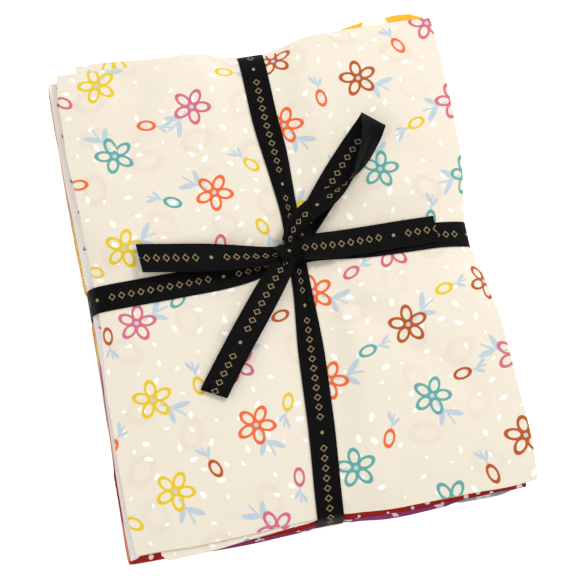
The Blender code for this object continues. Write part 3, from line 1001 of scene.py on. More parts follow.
@dataclass
class FoldedFatQuarter:
    """One fat quarter: a sheet folded in half lengthwise, and then once more across, right side out.

    The first fold is at +Y and the last at +X. Shifts and sizes are in millimetres and the turn in degrees; a
    narrow piece is folded short of the full width, and under is how far its lower layer sticks out at the near
    end. The layers' own sides come on top of that. A fine below 1 makes the mesh finer.
    """

    number: int
    colour: str
    cotton: PrintedCotton
    shift_x: float
    shift_y: float
    turn: float = 0.0
    narrow: float = 0.0
    under: float = 0.0
    upper: SideLines = SideLines()
    lower: SideLines = SideLines()
    fine: float = 1.0
    # How much narrower its lower layer is cut
    scant: float = 0.0
    width: float = 229.0
    length: float = 284.0
    thickness: float = 0.3
    # Middles of the plies from the middle of their layer, and of the layers from the middle of the piece
    ply: float = 0.3
    layer: float = 0.71
    folded: float = 2.44
    points: Array = field(default_factory=lambda: np.zeros((0, 3)))

    @property
    def node(self) -> str:
        """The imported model's name for it."""
        return f"fat_quarter_{self.number:02d}_{self.colour}"

    def spread(self, half: float, middle: float, rim: float) -> Array:
        """Places along one side from 0 to 1, close together at the rims and beside the ribbon.

        Args:
            half: Half of the side.
            middle: Where the ribbon crosses it.
            rim: How wide the rounded rim is.

        Returns:
            The places.
        """
        beside = [middle + out for out in (-32.0, -11.3, -8.3, 8.3, 11.3, 32.0)]
        marks = [-half, -half + rim, *beside, half - rim, half]
        steps = [3.4, 11.0, 5.2, 3.1, 5.6, 3.1, 5.2, 11.0, 3.4]
        places = [np.array([0.0])]
        for start, end, step in zip(marks, marks[1:], steps):
            count = math.ceil((end - start) / (step * self.fine))
            places.append((np.linspace(start, end, count + 1)[1:] + half) / (2 * half))
        return np.concatenate(places)

    def build(self, stack: TiedStack) -> bpy.types.Object:
        """Folds the sheet and lays it in the tied stack.

        Args:
            stack: The shape that the ribbons give it.

        Returns:
            The sheet, with its materials and thickness.
        """
        across, along = self.spread(114.5, 4.0, 26.0), self.spread(142.0, 5.3, 28.0)
        rest_x, rest_y = (across[:: 2], along[:: 2]) if self.fine < 1 else (across, along)
        arc = np.radians(np.linspace(90, -90, 9)[1:-1])
        t = np.concatenate([across, np.ones(len(arc)), rest_x[::-1]])
        lower = np.concatenate([np.zeros(len(across)), (0.5 - np.sin(arc) / 2), np.ones(len(rest_x))])
        facing = np.concatenate([np.full(len(across), np.pi / 2), arc, np.full(len(rest_x), -np.pi / 2)])
        turn = np.radians(np.linspace(0, 180, 6)[1:-1])
        q = np.concatenate([along, np.ones(len(turn)), rest_y[::-1]])
        inner = np.concatenate([np.zeros(len(along)), (1 - np.cos(turn)) / 2, np.ones(len(rest_y))])
        off = self.ply * np.concatenate([np.ones(len(along)), np.cos(turn), -np.ones(len(rest_y))])
        past = self.ply * np.concatenate([np.zeros(len(along)), np.sin(turn), np.zeros(len(rest_y))])
        t, lower, facing = t[:, None], lower[:, None], facing[:, None]
        q, inner, off, past = q[None], inner[None], off[None], past[None]
        wide = self.width - self.narrow
        rough_y = (q - 0.5) * self.length + 0 * t
        seed = self.number * 4.0

        def side(name: str, place: Array, size: float) -> Array:
            """How far one side stands out at each place, each ply's edge uneven by a size in its own way."""
            upper, under = (read(getattr(lines, name), place, 2.0) for lines in (self.upper, self.lower))
            number = 2 * (lower > 0.5) + (inner > 0.5)
            uneven = np.zeros_like(place)
            for ply in range(4):
                uneven = np.where(number == ply, wave(place, seed + ply + len(name), size), uneven)
            return upper + (under - upper) * lower + uneven

        raw = -wide / 2 - side("raw", rough_y, 0.3)
        fold = wide / 2 - self.folded / 2 + side("fold", rough_y, 0.0)
        x = raw + t * (fold - raw) + np.cos(facing) * (self.layer + off)
        near = -self.length / 2 - side("near", x + self.shift_x, 0.3)
        near -= self.under * (0.5 - x / wide) * lower
        far = self.length / 2 + side("far", x + self.shift_x, 0.0)
        y = near + q * (far - near) + past
        middle = (TiedStack.pieces - self.number) * TiedStack.pitch + self.folded / 2
        z = middle + np.sin(facing) * (self.layer + off)
        lean = math.tan(math.radians(self.turn))
        turned = np.stack([x - lean * y + self.shift_x, y + lean * x + self.shift_y, z], -1)
        grid = stack.carry(turned)
        flat_u = self.flat_places(t[:, 0], self.layer * math.pi, len(across), len(arc), wide)
        flat_v = self.flat_places(q[0], self.ply * math.pi, len(along), len(turn), self.length)
        self.points = grid.reshape(-1, 3)
        thing = sheet_object(f"cotton_{self.number:02d}_{self.colour}", grid, flat_u, flat_v)
        self.dress(thing)
        thicken(thing, self.thickness)
        return thing

    def flat_places(self, share: Array, bend: float, first: int, bent: int, size: float) -> Array:
        """Each line's place on the flat sheet: across its first layer, round the fold and back.

        Args:
            share: Each line's place from 0 at the raw end to 1 at the fold.
            bend: The length round the fold.
            first: How many lines the first layer has.
            bent: How many lines are on the fold.
            size: The layer's width.

        Returns:
            The places, in millimetres.
        """
        over = share[:first] * size
        round_fold = size + bend * np.arange(1, bent + 1) / (bent + 1)
        back = size + bend + (1 - share[first + bent :]) * size
        return np.concatenate([over, round_fold, back])

    def dress(self, thing: bpy.types.Object) -> None:
        """Gives the sheet its printed face and its wrong side.

        Args:
            thing: The sheet.
        """
        thing.data.materials.append(self.cotton.material(False))
        thing.data.materials.append(self.cotton.material(True))

    def declare(self, thing: bpy.types.Object, below: str) -> None:
        """Attaches the sheet to the root body and hides the imported piece that it replaces.

        Args:
            thing: The finished sheet.
            below: The name of the piece under it; not used.
        """
        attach(thing, "root")
        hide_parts(self.node)
        wide, long = 2 * (self.width - self.narrow) - self.scant, 2 * self.length
        cut = (round(wide * MM, 3), round(long * MM, 3))


# ---- The ribbon ----


@dataclass
class RibbonBand:
    """A length of ribbon drawn tight round the stack, as one closed sheet.

    Fields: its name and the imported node, the axis that it runs along (0 across, 1 along), its line and where on
    that the knot is, and then, on either side of the knot, how far from it the band starts to widen and over
    what length. Over a bump, it rises that much at the knot.
    """

    name: str
    node: str
    axis: int
    line: Table
    knot_at: float
    tapers: tuple[Place, Place]
    over_bump: float = 0.0
    bump_reach: Place = (10.0, 12.0)
    knot_width: float = 10.0
    width: float = 15.3
    thickness: float = 0.4
    gap: float = 0.62
    step: float = 1.6
    columns: int = 9
    # Where it is narrow it lies in pleats; a ribbon this much over its width is still flat
    pleats: float = 2.0
    slack: float = 1.06
    line_blur: float = TiedStack.line_blur

    def hull(self, points: Array) -> Array:
        """The taut outline round a set of (along, height) points, anticlockwise.

        Args:
            points: The cloth's points beside the ribbon.

        Returns:
            The outline's corners.
        """
        ordered = points[np.lexsort((points[:, 1], points[:, 0]))]

        def half(run: Array) -> list[Array]:
            """The lower half of the outline of points in the order of the run."""
            chain: list[Array] = []
            for p in run:
                while len(chain) > 1:
                    a, b = chain[-2], chain[-1]
                    if (b[0] - a[0]) * (p[1] - a[1]) - (b[1] - a[1]) * (p[0] - a[0]) > 0:
                        break
                    chain.pop()
                chain.append(p)
            return chain[:-1]

        return np.array(half(ordered) + half(ordered[::-1]))

    def ring(self, cloth: Array) -> Array:
        """The ribbon's middle line as (along, height), a gap out from the cloth, with soft corners.

        Args:
            cloth: All the cloth's points.

        Returns:
            The line's points, evenly spaced.
        """
        other = 1 - self.axis
        aside = cloth[:, other] - read(self.line, cloth[:, self.axis], self.line_blur)
        corners = self.hull(cloth[np.abs(aside) < self.width / 2 + 1.0][:, [self.axis, 2]])
        loop = np.vstack([corners, corners[:1]])
        places = np.concatenate([[0.0], np.cumsum(np.linalg.norm(np.diff(loop, axis=0), axis=1))])
        count = round(places[-1] / self.step)
        even = np.linspace(0, places[-1], count, endpoint=False)
        line = np.stack([np.interp(even, places, loop[:, k]) for k in range(2)], -1)
        for _ in range(2):
            line = (np.roll(line, 1, 0) + 2 * line + np.roll(line, -1, 0)) / 4
        tangent = np.roll(line, -1, 0) - np.roll(line, 1, 0)
        tangent /= np.linalg.norm(tangent, axis=1)[:, None]
        return line + np.stack([tangent[:, 1], -tangent[:, 0]], -1) * self.gap

    def build(self, cloth: Array, stack: TiedStack, finish: WovenRibbon) -> bpy.types.Object:
        """Lays the band round the stack.

        Args:
            cloth: All the cloth's points.
            stack: The tied stack.
            finish: The ribbon's finish.

        Returns:
            The band, with its materials and thickness.
        """
        ring = self.ring(cloth)
        on_top = ring[:, 1] > stack.height / 2
        from_knot = ring[:, 0] - self.knot_at
        start, reach = (np.where(from_knot < 0, *pair) for pair in zip(*self.tapers))
        narrow = (1.0 - smooth((np.abs(from_knot) - start) / reach)) * on_top
        width = self.width - (self.width - self.knot_width) * narrow
        bump_start, bump_end = self.bump_reach
        rise = self.over_bump * (1.0 - smooth((np.abs(from_knot) - bump_start) / bump_end)) * on_top
        share = np.linspace(-0.5, 0.5, self.columns)
        aside = read(self.line, ring[:, 0], self.line_blur)[:, None] + share[None] * width[:, None]
        turns = 2 * math.pi * self.pleats
        pleat = np.sqrt(np.maximum(finish.width / width - self.slack, 0.0)) * width / turns
        relief = pleat[:, None] * (1.0 - np.cos(turns * (share[None] + 0.5))) / 2
        grid = np.zeros((len(ring), len(share), 3))
        grid[..., self.axis] = ring[:, :1]
        grid[..., 1 - self.axis] = aside
        grid[..., 2] = ring[:, 1:] + rise[:, None] + relief
        if self.axis == 0:
            grid = grid[:, ::-1]
        runs = np.linalg.norm(np.diff(np.vstack([ring, ring[:1]]), axis=0), axis=1)
        flat_u = np.concatenate([[0.0], np.cumsum(runs)])
        self.length = float(flat_u[-1])
        thing = sheet_object(self.name, grid, flat_u, (share + 0.5) * finish.width, closed=True)
        thing.data.materials.append(finish.material(False))
        thing.data.materials.append(finish.material(True))
        thicken(thing, self.thickness)
        return thing

    def declare(self, thing: bpy.types.Object, rests_on: list[str]) -> None:
        """Attaches the band to the root body and hides the imported piece that it replaces.

        Args:
            thing: The finished band.
            rests_on: The names of the pieces under it; not used.
        """
        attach(thing, "root")
        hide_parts(self.node)
        cut = (WovenRibbon.width * MM, round(self.length * MM, 3))


@dataclass(frozen=True)
class Station:
    """A place on a free run of ribbon.

    Fields: x, y and rise over the stack's top in millimetres, the way across the ribbon in plan in degrees, its
    width in millimetres, and how far that side is tilted up in degrees.
    """

    x: float
    y: float
    rise: float
    across: float
    width: float = 16.0
    tilt: float = 0.0


@dataclass
class RibbonRun:
    """A tail, a loop or the knot's wrap: one open sheet of ribbon through its stations.

    Fields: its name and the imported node, its stations, how it is held, where on the printed chain it starts,
    how many pleats it has where it is narrow, how far its middle is cupped, how far it stays clear of the cloth,
    and whether its printed side is up at its first station. Lengths are in millimetres.
    """

    name: str
    node: str
    stations: tuple[Station, ...]
    held: str
    start_mark: float = 0.0
    pleats: float = 2.0
    cup: float = 0.0
    clear: float = 0.45
    step: float = 1.2
    columns: int = 17
    thickness: float = 0.4
    full_width: float = WovenRibbon.width
    print_up: bool = True

    def path(self) -> dict[str, Array]:
        """The run's smooth course.

        Returns:
            Each of the stations' values at even steps along it, by name.
        """
        table = np.array([(s.x, s.y, s.rise, s.across, s.width, s.tilt) for s in self.stations])
        reach = np.concatenate([[0.0], np.cumsum(np.linalg.norm(np.diff(table[:, :3], axis=0), axis=1))])
        slopes = np.gradient(table, reach, axis=0)
        places = np.linspace(0, reach[-1], max(8, round(reach[-1] / self.step)))
        k = np.clip(np.searchsorted(reach, places, side="right") - 1, 0, len(reach) - 2)
        span = (reach[k + 1] - reach[k])[:, None]
        t = (places[:, None] - reach[k][:, None]) / span
        a, b = (1 + 2 * t) * (1 - t) ** 2, t * t * (3 - 2 * t)
        c, d = t * (1 - t) ** 2, t * t * (t - 1)
        values = a * table[k] + b * table[k + 1] + span * (c * slopes[k] + d * slopes[k + 1])
        return dict(zip(("x", "y", "rise", "across", "width", "tilt"), values.T))

    def build(self, stack: TiedStack, finish: WovenRibbon) -> bpy.types.Object:
        """Runs the ribbon through its stations, gathered where it is narrow and nowhere in the cloth.

        Args:
            stack: The tied stack.
            finish: The ribbon's finish.

        Returns:
            The run, with its materials and thickness.
        """
        course = self.path()
        heading, tilt = np.radians(course["across"]), np.radians(course["tilt"])
        middle = np.stack([course["x"], course["y"], stack.height + course["rise"]], -1)
        level = np.cos(tilt)
        across = np.stack([np.cos(heading) * level, np.sin(heading) * level, np.sin(tilt)], -1)
        tangent = np.gradient(middle, axis=0)
        normal = np.cross(across, tangent)
        normal /= np.linalg.norm(normal, axis=1)[:, None]
        share = np.linspace(-0.5, 0.5, self.columns)
        width = course["width"]
        turns = 2 * math.pi * self.pleats
        fold = np.sqrt(np.maximum(self.full_width / width - 1.0, 0.0)) * width / turns
        relief = fold[:, None] * np.cos(turns * share[None]) + self.cup * (1.0 - 4 * share[None] ** 2)
        aside = across[:, None] * share[None, :, None] * width[:, None, None]
        grid = middle[:, None] + aside - normal[:, None] * relief[..., None]
        floor = stack.top_at(grid[..., 0], grid[..., 1]) + self.clear
        grid[..., 2] = np.maximum(grid[..., 2], floor)
        runs = np.linalg.norm(np.diff(middle, axis=0), axis=1)
        flat_u = self.start_mark + np.concatenate([[0.0], np.cumsum(runs)])
        self.length = float(runs.sum())
        flat_v = (share + 0.5) * self.full_width
        if self.print_up:
            grid, flat_v = grid[:, ::-1], flat_v[::-1]
        thing = sheet_object(self.name, grid, flat_u, flat_v)
        thing.data.materials.append(finish.material(False))
        thing.data.materials.append(finish.material(True))
        thicken(thing, self.thickness)
        return thing

    def declare(self, thing: bpy.types.Object, rests_on: list[str]) -> None:
        """Attaches the run to the root body and hides the imported piece that it replaces.

        Args:
            thing: The finished run.
            rests_on: The names of the pieces under it; not used.
        """
        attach(thing, "root")
        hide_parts(self.node)
        cut = (self.full_width * MM, round(self.length * MM, 3))


# ---- The studio ----


@dataclass(frozen=True)
class Studio:
    """A white paper floor, two soft lights, a bright room, and the camera nearly overhead.

    The camera's axes and place are those that fit the photo. Places and sizes are in metres, powers in watts.
    """

    floor_side: float = 20.0
    eye: tuple[float, float, float] = (-0.1114, -0.2076, 0.943)
    right: tuple[float, float, float] = (0.97807, -0.19307, 0.07814)
    up: tuple[float, float, float] = (0.17021, 0.95712, 0.23441)
    back: tuple[float, float, float] = (-0.12005, -0.21597, 0.96899)
    lens: float = 100.0
    sensor: float = 36.0
    room: float = 0.62
    key: float = 10.2
    key_place: tuple[float, float, float] = (0.75, 0.62, 1.15)
    key_side: float = 0.55
    fill_place: tuple[float, float, float] = (-0.9, -0.5, 1.3)
    fill_side: float = 1.2
    fill_share: float = 0.5
    # What the lights point at
    aim: tuple[float, float, float] = (0.0, 0.0, 0.03)

    def build(self) -> None:
        """Makes the floor, the lights, the room and the camera."""
        bpy.ops.object.select_all(action="DESELECT")
        bpy.ops.mesh.primitive_plane_add(size=self.floor_side)
        floor = bpy.context.object
        floor.name = "floor"
        floor.data.materials.append(StudioPaper().material())
        self.light("key", self.key_place, self.key_side, self.key)
        self.light("fill", self.fill_place, self.fill_side, self.key * self.fill_share)
        world = bpy.data.worlds.new("room")
        world.use_nodes = True
        back = world.node_tree.nodes["Background"]
        back.inputs["Color"].default_value = linear("FFFFFF")
        back.inputs["Strength"].default_value = self.room
        scene = bpy.context.scene
        scene.world = world
        scene.view_settings.view_transform = "Standard"
        lens = bpy.data.cameras.new("camera")
        lens.sensor_width = self.sensor
        lens.lens = self.lens
        lens.clip_start = 0.01
        camera = bpy.data.objects.new("camera", lens)
        scene.collection.objects.link(camera)
        turn = Matrix((self.right, self.up, self.back)).transposed().to_4x4()
        turn.translation = self.eye
        camera.matrix_world = turn
        scene.camera = camera

    def light(self, name: str, place: tuple[float, float, float], size: float, power: float) -> None:
        """Adds a square soft light that points at the bundle.

        Args:
            name: Its name.
            place: Where it stands, in metres.
            size: Its side, in metres.
            power: Its power, in watts.
        """
        data = bpy.data.lights.new(name, "AREA")
        data.size = size
        data.energy = power
        lamp = bpy.data.objects.new(name, data)
        bpy.context.scene.collection.objects.link(lamp)
        lamp.location = place
        lamp.rotation_euler = (Vector(self.aim) - Vector(place)).to_track_quat("-Z", "Y").to_euler()


# ---- The bundle's own pieces ----

BRIGHT = ("E9C81C", "B9541A", "D56A86", "5FA9A3", "EF6A31")
CREAM_UPPER = SideLines(
    raw=(
        (-145, 0.9), (-125, 1.7), (-100, 2.2), (-72, 2.0), (-43, 1.4), (-15, 0.6), (13, 1.3),
        (55, -1.0), (89, 1.4),
        (120, 0.5), (139, -0.9),
    ),
    far=(
        (-112, 0.0), (-90, -1.4), (-60, -2.9), (-37, -3.6), (-22, -3.0), (0, -1.5), (12, -1.5), (30, -2.4),
        (50, -2.2), (76, -1.8), (88, -0.2), (118, -0.2),
    ),
)
CREAM_LOWER = SideLines(
    raw=((-142, -13.0), (142, -13.0)),
    near=(
        (-114, 0.0), (-100, 0.4), (-96, 5.4), (-74, 4.6), (-54, 3.2), (-38, 2.2), (-25, 1.6),
        (-10, 1.4), (10, 0.0),
        (118, -0.6),
    ),
    far=(
        (-112, 0.0), (-103, 0.6), (-99, 4.2), (-86, 4.0), (-70, 2.6), (-54, 1.2), (-43, 0.8),
        (-33, 1.6), (-22, 3.4),
        (-8, 3.2), (10, 2.8), (22, 2.8), (44, 1.4), (56, 0.2), (66, 0.1), (73, 0.6), (79, 0.0), (118, -0.5),
    ),
)
MARIGOLD_SIDES = SideLines(
    raw=((-142, -3.0), (142, -3.0)),
    far=(
        (-112, -3.0), (40, -4.0), (66, -3.0), (70, 0.4), (74, 1.2), (89, 0.9), (98, 2.0),
        (108, 1.6), (113, -1.6),
    ),
)
LIGHT_GREY_SIDES = SideLines(
    raw=(
        (-145, 1.0), (-124, 1.3), (-99, 1.0), (-70, -0.2), (-38, -1.1), (-4, 0.6), (6, 2.2),
        (15, 2.2), (57, -0.4),
        (92, 0.4), (139, -0.4),
    ),
    near=((-118, 0.8), (-113.5, 0.5), (-111.0, -1.6), (118, -1.6)),
    far=((-118, -1.5), (118, -1.5)),
)
RED_SIDES = SideLines(
    raw=(
        (-142, 3.4), (-134, 2.0), (-124, 2.4), (-118, 3.6), (-90, 3.6), (-80, 1.4), (-40, 0.4), (142, 0.0),
    ),
    near=((-118, 0.8), (-100, 0.8), (-40, 0.6), (-25, 0.9), (-10, 0.5), (118, 0.3)),
)
PLUM_SIDES = SideLines(
    near=(
        (-114, -0.8), (-95, -0.6), (-75, 0.6), (-52, 1.6), (-38, 1.5), (-20, 1.6), (0, 1.0),
        (15, 1.4), (26, 2.5),
        (49, 2.7), (61, 2.3), (70, 1.5), (78, -0.8), (118, -1.0),
    ),
)
BLUE_GREY_SIDES = SideLines(
    near=((-118, -1.6), (58, -1.0), (68, 1.5), (75, 2.7), (86, 3.0), (98, 2.8), (104, 1.5), (108, 0.0)),
)
YELLOW_SIDES = SideLines(
    raw=(
        (-142, -1.0), (-60, -1.6), (-38, -1.2), (-30, 0.3), (-8, 0.3), (6, 2.0), (17, 2.0), (60, 0.3), (142, 0.3),
    ),
)
SALMON_SIDES = SideLines(
    raw=(
        (-142, 1.5), (-123, 1.3), (-98, 0.5), (-69, -0.4), (-37, -0.7), (-8, 0.2), (17, 1.3), (60, 0.0),
        (142, -0.2),
    ),
)
TUCKED = SideLines(
    raw=((-142, -1.5), (-60, -2.1), (-20, -2.4), (20, -2.0), (142, -1.7)),
    near=((-118, -1.4), (118, -1.0)),
)

PIECES = (
    FoldedFatQuarter(
        1, "cream",
        PrintedCotton(
            "cream_print_cotton", "EEE4D2", ("FFFDF8", "BFCFD8", *BRIGHT),
            Print.TOSSED_BLOOMS, repeat=51.0, motif=3.0, seed=5.0,
        ),
        shift_x=3.0, shift_y=0.0, turn=0.0, narrow=0.0, under=0.0, upper=CREAM_UPPER, lower=CREAM_LOWER,
        fine=0.5, scant=13.0,
    ),
    FoldedFatQuarter(
        2, "marigold",
        PrintedCotton(
            "marigold_cotton", "FDB62B", ("FFF6E4",),
            Print.BLOOMS, repeat=36.0, motif=13.0, seed=2.0,
        ),
        shift_x=1.8, shift_y=2.4, turn=0.7, narrow=1.0, under=0.0, upper=MARIGOLD_SIDES, lower=MARIGOLD_SIDES,
    ),
    FoldedFatQuarter(
        3, "light_grey",
        PrintedCotton(
            "light_grey_cotton", "F8F4F0", ("FFFFFF", "9A5A77"),
            Print.PIN_DOTS, repeat=2.9, motif=0.62, seed=3.0,
        ),
        shift_x=-1.0, shift_y=-0.6, turn=0.3, narrow=0.0, under=0.0,
        upper=LIGHT_GREY_SIDES, lower=LIGHT_GREY_SIDES,
    ),
    FoldedFatQuarter(
        4, "red",
        PrintedCotton("red_cotton", "A5170E", ("F7EDE4",), Print.SPOTS, repeat=7.5, motif=1.5, seed=4.0),
        shift_x=-0.6, shift_y=-2.2, turn=0.1, narrow=3.0, under=0.5, upper=RED_SIDES, lower=RED_SIDES,
    ),
    FoldedFatQuarter(
        5, "plum",
        PrintedCotton("plum_cotton", "9C3F7A", ("F4E8EE",), Print.SPRIGS, repeat=13.0, motif=3.6, seed=5.0),
        shift_x=-1.6, shift_y=-2.6, turn=0.2, narrow=2.0, under=1.0, upper=PLUM_SIDES, lower=PLUM_SIDES,
    ),
    FoldedFatQuarter(
        6, "blue_grey",
        PrintedCotton(
            "blue_grey_cotton", "A9BAC9", ("EEF2F4", "D98C7A", "8399AC"),
            Print.BLOOMS, repeat=15.0, motif=4.6, seed=6.0,
        ),
        shift_x=-2.2, shift_y=-1.6, turn=0.3, narrow=2.5, under=1.5,
        upper=BLUE_GREY_SIDES, lower=BLUE_GREY_SIDES,
    ),
    FoldedFatQuarter(
        7, "yellow",
        PrintedCotton("yellow_cotton", "FBD548", ("F9F3DC",), Print.HATCH, repeat=6.0, motif=0.7, seed=7.0),
        shift_x=-1.8, shift_y=0.4, turn=0.2, narrow=1.0, under=0.0, upper=YELLOW_SIDES, lower=YELLOW_SIDES,
    ),
    FoldedFatQuarter(
        8, "mauve",
        PrintedCotton(
            "mauve_cotton", "C9A9B8", ("8E4A69", "F2EAEE"),
            Print.SPRIGS, repeat=9.0, motif=2.6, seed=8.0,
        ),
        shift_x=-2.4, shift_y=-0.8, turn=0.3, narrow=0.0, under=1.5, upper=TUCKED, lower=TUCKED,
    ),
    FoldedFatQuarter(
        9, "teal",
        PrintedCotton("teal_cotton", "5FA9A3", ("E7F1EF",), Print.SPOTS, repeat=9.0, motif=1.6, seed=9.0),
        shift_x=-1.2, shift_y=0.6, turn=0.1, narrow=2.0, under=-1.0,
    ),
    FoldedFatQuarter(
        10, "salmon",
        PrintedCotton("salmon_cotton", "F59E84", ("F9E6DD",), Print.STRIPES, repeat=5.0, motif=1.4, seed=10.0),
        shift_x=-2.6, shift_y=-1.2, turn=0.2, narrow=1.0, under=1.0, upper=SALMON_SIDES, lower=SALMON_SIDES,
    ),
    FoldedFatQuarter(
        11, "pink",
        PrintedCotton(
            "pink_cotton", "E08CAF", ("FBEFF4", "B83C6E"),
            Print.BLOOMS, repeat=14.0, motif=4.2, seed=11.0,
        ),
        shift_x=-1.8, shift_y=0.8, turn=0.0, narrow=1.5, under=-1.0,
    ),
    FoldedFatQuarter(
        12, "rust",
        PrintedCotton("rust_cotton", "B9541A", ("F3D9BE",), Print.PIN_DOTS, repeat=5.0, motif=0.9, seed=12.0),
        shift_x=-2.6, shift_y=-0.6, turn=0.2, narrow=0.0, under=1.5, upper=TUCKED, lower=TUCKED,
    ),
    FoldedFatQuarter(
        13, "ivory",
        PrintedCotton(
            "ivory_cotton", "EFE6D6", ("C4553C", "5FA9A3", "E9C81C"),
            Print.SPOTS, repeat=8.0, motif=1.4, seed=13.0,
        ),
        shift_x=-1.6, shift_y=-1.8, turn=0.1, narrow=2.0, under=0.5,
    ),
    FoldedFatQuarter(
        14, "orange",
        PrintedCotton("orange_cotton", "EF6A31", ("FBE3D3",), Print.CHECK, repeat=6.0, motif=3.0, seed=14.0),
        shift_x=-2.4, shift_y=0.2, turn=0.2, narrow=1.0, under=-0.5, upper=TUCKED, lower=TUCKED,
    ),
    FoldedFatQuarter(
        15, "slate",
        PrintedCotton("slate_cotton", "5D6F80", ("DDE4EA",), Print.SPRIGS, repeat=10.0, motif=3.0, seed=15.0),
        shift_x=-2.0, shift_y=-1.4, turn=0.3, narrow=0.5, under=1.0, upper=TUCKED, lower=TUCKED,
    ),
    FoldedFatQuarter(
        16, "rose",
        PrintedCotton("rose_cotton", "D2697F", ("F8E3E7",), Print.HATCH, repeat=7.0, motif=0.8, seed=16.0),
        shift_x=-2.4, shift_y=0.6, turn=0.1, narrow=1.0, under=0.0, upper=TUCKED, lower=TUCKED,
    ),
    FoldedFatQuarter(
        17, "mint",
        PrintedCotton(
            "mint_cotton", "A9D2C6", ("F6FBF9", "3F8A80"),
            Print.PIN_DOTS, repeat=4.0, motif=0.8, seed=17.0,
        ),
        shift_x=-2.2, shift_y=-1.0, turn=0.2, narrow=0.5, under=1.0, upper=TUCKED, lower=TUCKED,
    ),
    FoldedFatQuarter(
        18, "dark_red",
        PrintedCotton(
            "dark_red_cotton", "8E1410", ("F3DFCF", "D98C7A"),
            Print.BLOOMS, repeat=17.0, motif=5.0, seed=18.0,
        ),
        shift_x=-2.4, shift_y=-1.6, turn=0.1, narrow=0.0, under=0.5, upper=TUCKED, lower=TUCKED,
    ),
)

LEFT_TAIL = RibbonRun(
    "tail_left", "ribbon_left_tail",
    (
        Station(4.0, 10.4, 4.4, 92, 9.4),
        Station(-3.0, 10.4, 4.6, 95, 10.0),
        Station(-9.8, 10.9, 4.6, 96, 11.2),
        Station(-16.0, 11.6, 4.8, 95, 12.6),
        Station(-26.0, 13.2, 4.4, 94, 14.4),
        Station(-42.0, 15.8, 3.6, 94, 16.8),
        Station(-62.0, 19.2, 3.0, 94, 17.2),
        Station(-82.0, 22.7, 2.6, 94, 17.2),
    ),
    "draped", start_mark=22.0,
)
RIGHT_TAIL = RibbonRun(
    "tail_right", "ribbon_right_tail",
    (
        Station(3.0, 12.0, 3.4, 92, 10.0),
        Station(9.0, 11.9, 4.4, 91, 13.0),
        Station(15.2, 11.9, 4.2, 90, 14.8),
        Station(22.0, 11.7, 2.6, 90, 15.8),
        Station(32.0, 11.6, 0.4, 90, 16.2),
        Station(50.0, 11.6, -0.9, 90, 16.2),
        Station(72.0, 11.6, -1.6, 90, 16.2),
        Station(92.0, 11.4, -2.0, 91, 16.0),
    ),
    "draped", start_mark=4.0, print_up=False,
)
RIGHT_LOOP = RibbonRun(
    "loop_right", "ribbon_right_loop",
    (
        Station(8.0, 14.0, 2.6, 132, 11.0, 0),
        Station(16.0, 24.2, 3.2, 136, 13.4, -4),
        Station(28.6, 39.0, 3.8, 138, 15.4, -8),
        Station(39.4, 51.6, 4.8, 138, 16.0, -10),
        Station(49.6, 62.6, 6.2, 139, 16.0, -10),
        Station(59.0, 72.0, 7.8, 141, 16.0, -4),
        Station(65.4, 78.2, 9.6, 142, 16.0, 0),
        Station(66.8, 79.6, 11.6, 142, 16.0, 4),
        Station(65.8, 77.4, 13.4, 142, 16.0, 12),
        Station(62.8, 69.6, 14.4, 142, 15.6, 38),
        Station(56.8, 58.6, 14.2, 141, 14.8, 58),
        Station(50.6, 50.4, 13.4, 138, 14.0, 78),
        Station(45.6, 45.4, 12.6, 128, 13.6, 102),
        Station(38.0, 40.8, 11.6, 118, 14.2, 130),
        Station(30.0, 36.8, 10.6, 116, 14.8, 146),
        Station(22.0, 33.2, 9.4, 117, 14.2, 154),
        Station(14.6, 29.0, 8.2, 121, 12.8, 160),
        Station(8.6, 23.6, 7.0, 126, 11.4, 166),
        Station(4.0, 15.0, 5.2, 132, 10.0, 172),
    ),
    "draped", start_mark=60.0, print_up=False,
)
LEFT_LOOP = RibbonRun(
    "loop_left", "ribbon_left_loop",
    (
        Station(3.0, 9.0, 4.4, 134, 11.0),
        Station(-3.6, 1.2, 5.4, 142, 13.4),
        Station(-9.4, -5.6, 5.8, 146, 15.0),
        Station(-20.0, -18.6, 5.3, 149, 16.0),
        Station(-36.0, -38.4, 4.3, 151, 16.0),
        Station(-49.6, -56.0, 3.6, 152, 16.0),
        Station(-53.2, -60.8, 3.2, 152, 16.0),
        Station(-54.2, -62.2, 2.2, 152, 16.0),
        Station(-53.2, -60.8, 1.3, 152, 16.0),
        Station(-49.6, -56.0, 1.0, 152, 15.6),
        Station(-36.0, -38.0, 1.0, 151, 15.6),
        Station(-20.0, -18.0, 1.4, 149, 15.0),
        Station(-9.6, -3.6, 2.2, 144, 11.0),
        Station(2.0, 8.0, 2.6, 132, 9.0),
    ),
    "draped", start_mark=9.0,
)
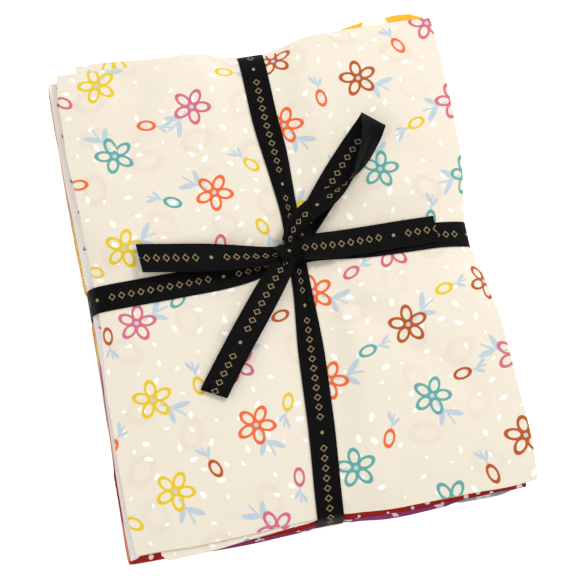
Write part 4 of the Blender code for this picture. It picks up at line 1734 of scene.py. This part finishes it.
KNOT_WRAP = RibbonRun(
    "knot_wrap", "ribbon_knot",
    (
        Station(5.6, 2.4, -0.2, 2, 10.5),
        Station(5.4, 3.4, 2.8, 4, 11.4),
        Station(5.0, 5.4, 5.8, 6, 12.2),
        Station(4.2, 9.0, 7.6, 10, 13.2),
        Station(2.6, 12.8, 8.0, 18, 14.2),
        Station(1.0, 16.0, 7.0, 26, 14.0),
        Station(-0.2, 18.2, 4.4, 31, 13.0),
        Station(-0.5, 19.0, 0.6, 32, 11.5),
    ),
    "gathered", start_mark=54.5, pleats=3.0, cup=1.8,
)


def remove_strays(kept: set[bpy.types.Object]) -> None:
    """Removes what the file held before the frame came in.

    Args:
        kept: The frame's own objects.
    """
    for thing in list(bpy.data.objects):
        if thing not in kept:
            bpy.data.objects.remove(thing, do_unlink=True)


def main() -> None:
    """Builds the studio and the bundle, piece by piece."""
    logging.basicConfig(level=logging.INFO, format="%(message)s")
    remove_strays({*frame["nodes"].values(), *frame["bodies"].values()})
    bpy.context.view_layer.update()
    Studio().build()
    stack = TiedStack()
    below = ""
    for piece in reversed(PIECES):
        thing = piece.build(stack)
        piece.declare(thing, below)
        below = thing.name
        LOG.info("%s: %d faces", thing.name, len(thing.data.polygons))
    cloth = np.concatenate([piece.points for piece in PIECES])
    finish = WovenRibbon()
    bands = (
        RibbonBand(
            "band_lengthwise", "ribbon_long_band",
            axis=1, line=stack.long_line, knot_at=9.5, tapers=((6.0, 58.0), (20.0, 58.0)),
        ),
        RibbonBand(
            "band_crosswise", "ribbon_cross_band",
            axis=0, line=stack.cross_line, knot_at=7.0, tapers=((6.0, 44.0), (6.0, 44.0)), over_bump=1.0,
        ),
    )
    for band in bands:
        thing = band.build(cloth, stack, finish)
        band.declare(thing, [below])
        LOG.info("%s: %.0f mm long", thing.name, band.length)
    for run in (LEFT_TAIL, RIGHT_TAIL, RIGHT_LOOP, LEFT_LOOP, KNOT_WRAP):
        thing = run.build(stack, finish)
        run.declare(thing, [below, "band_crosswise"])
        LOG.info("%s: %.0f mm long", thing.name, run.length)


if __name__ == "__main__":
    main()
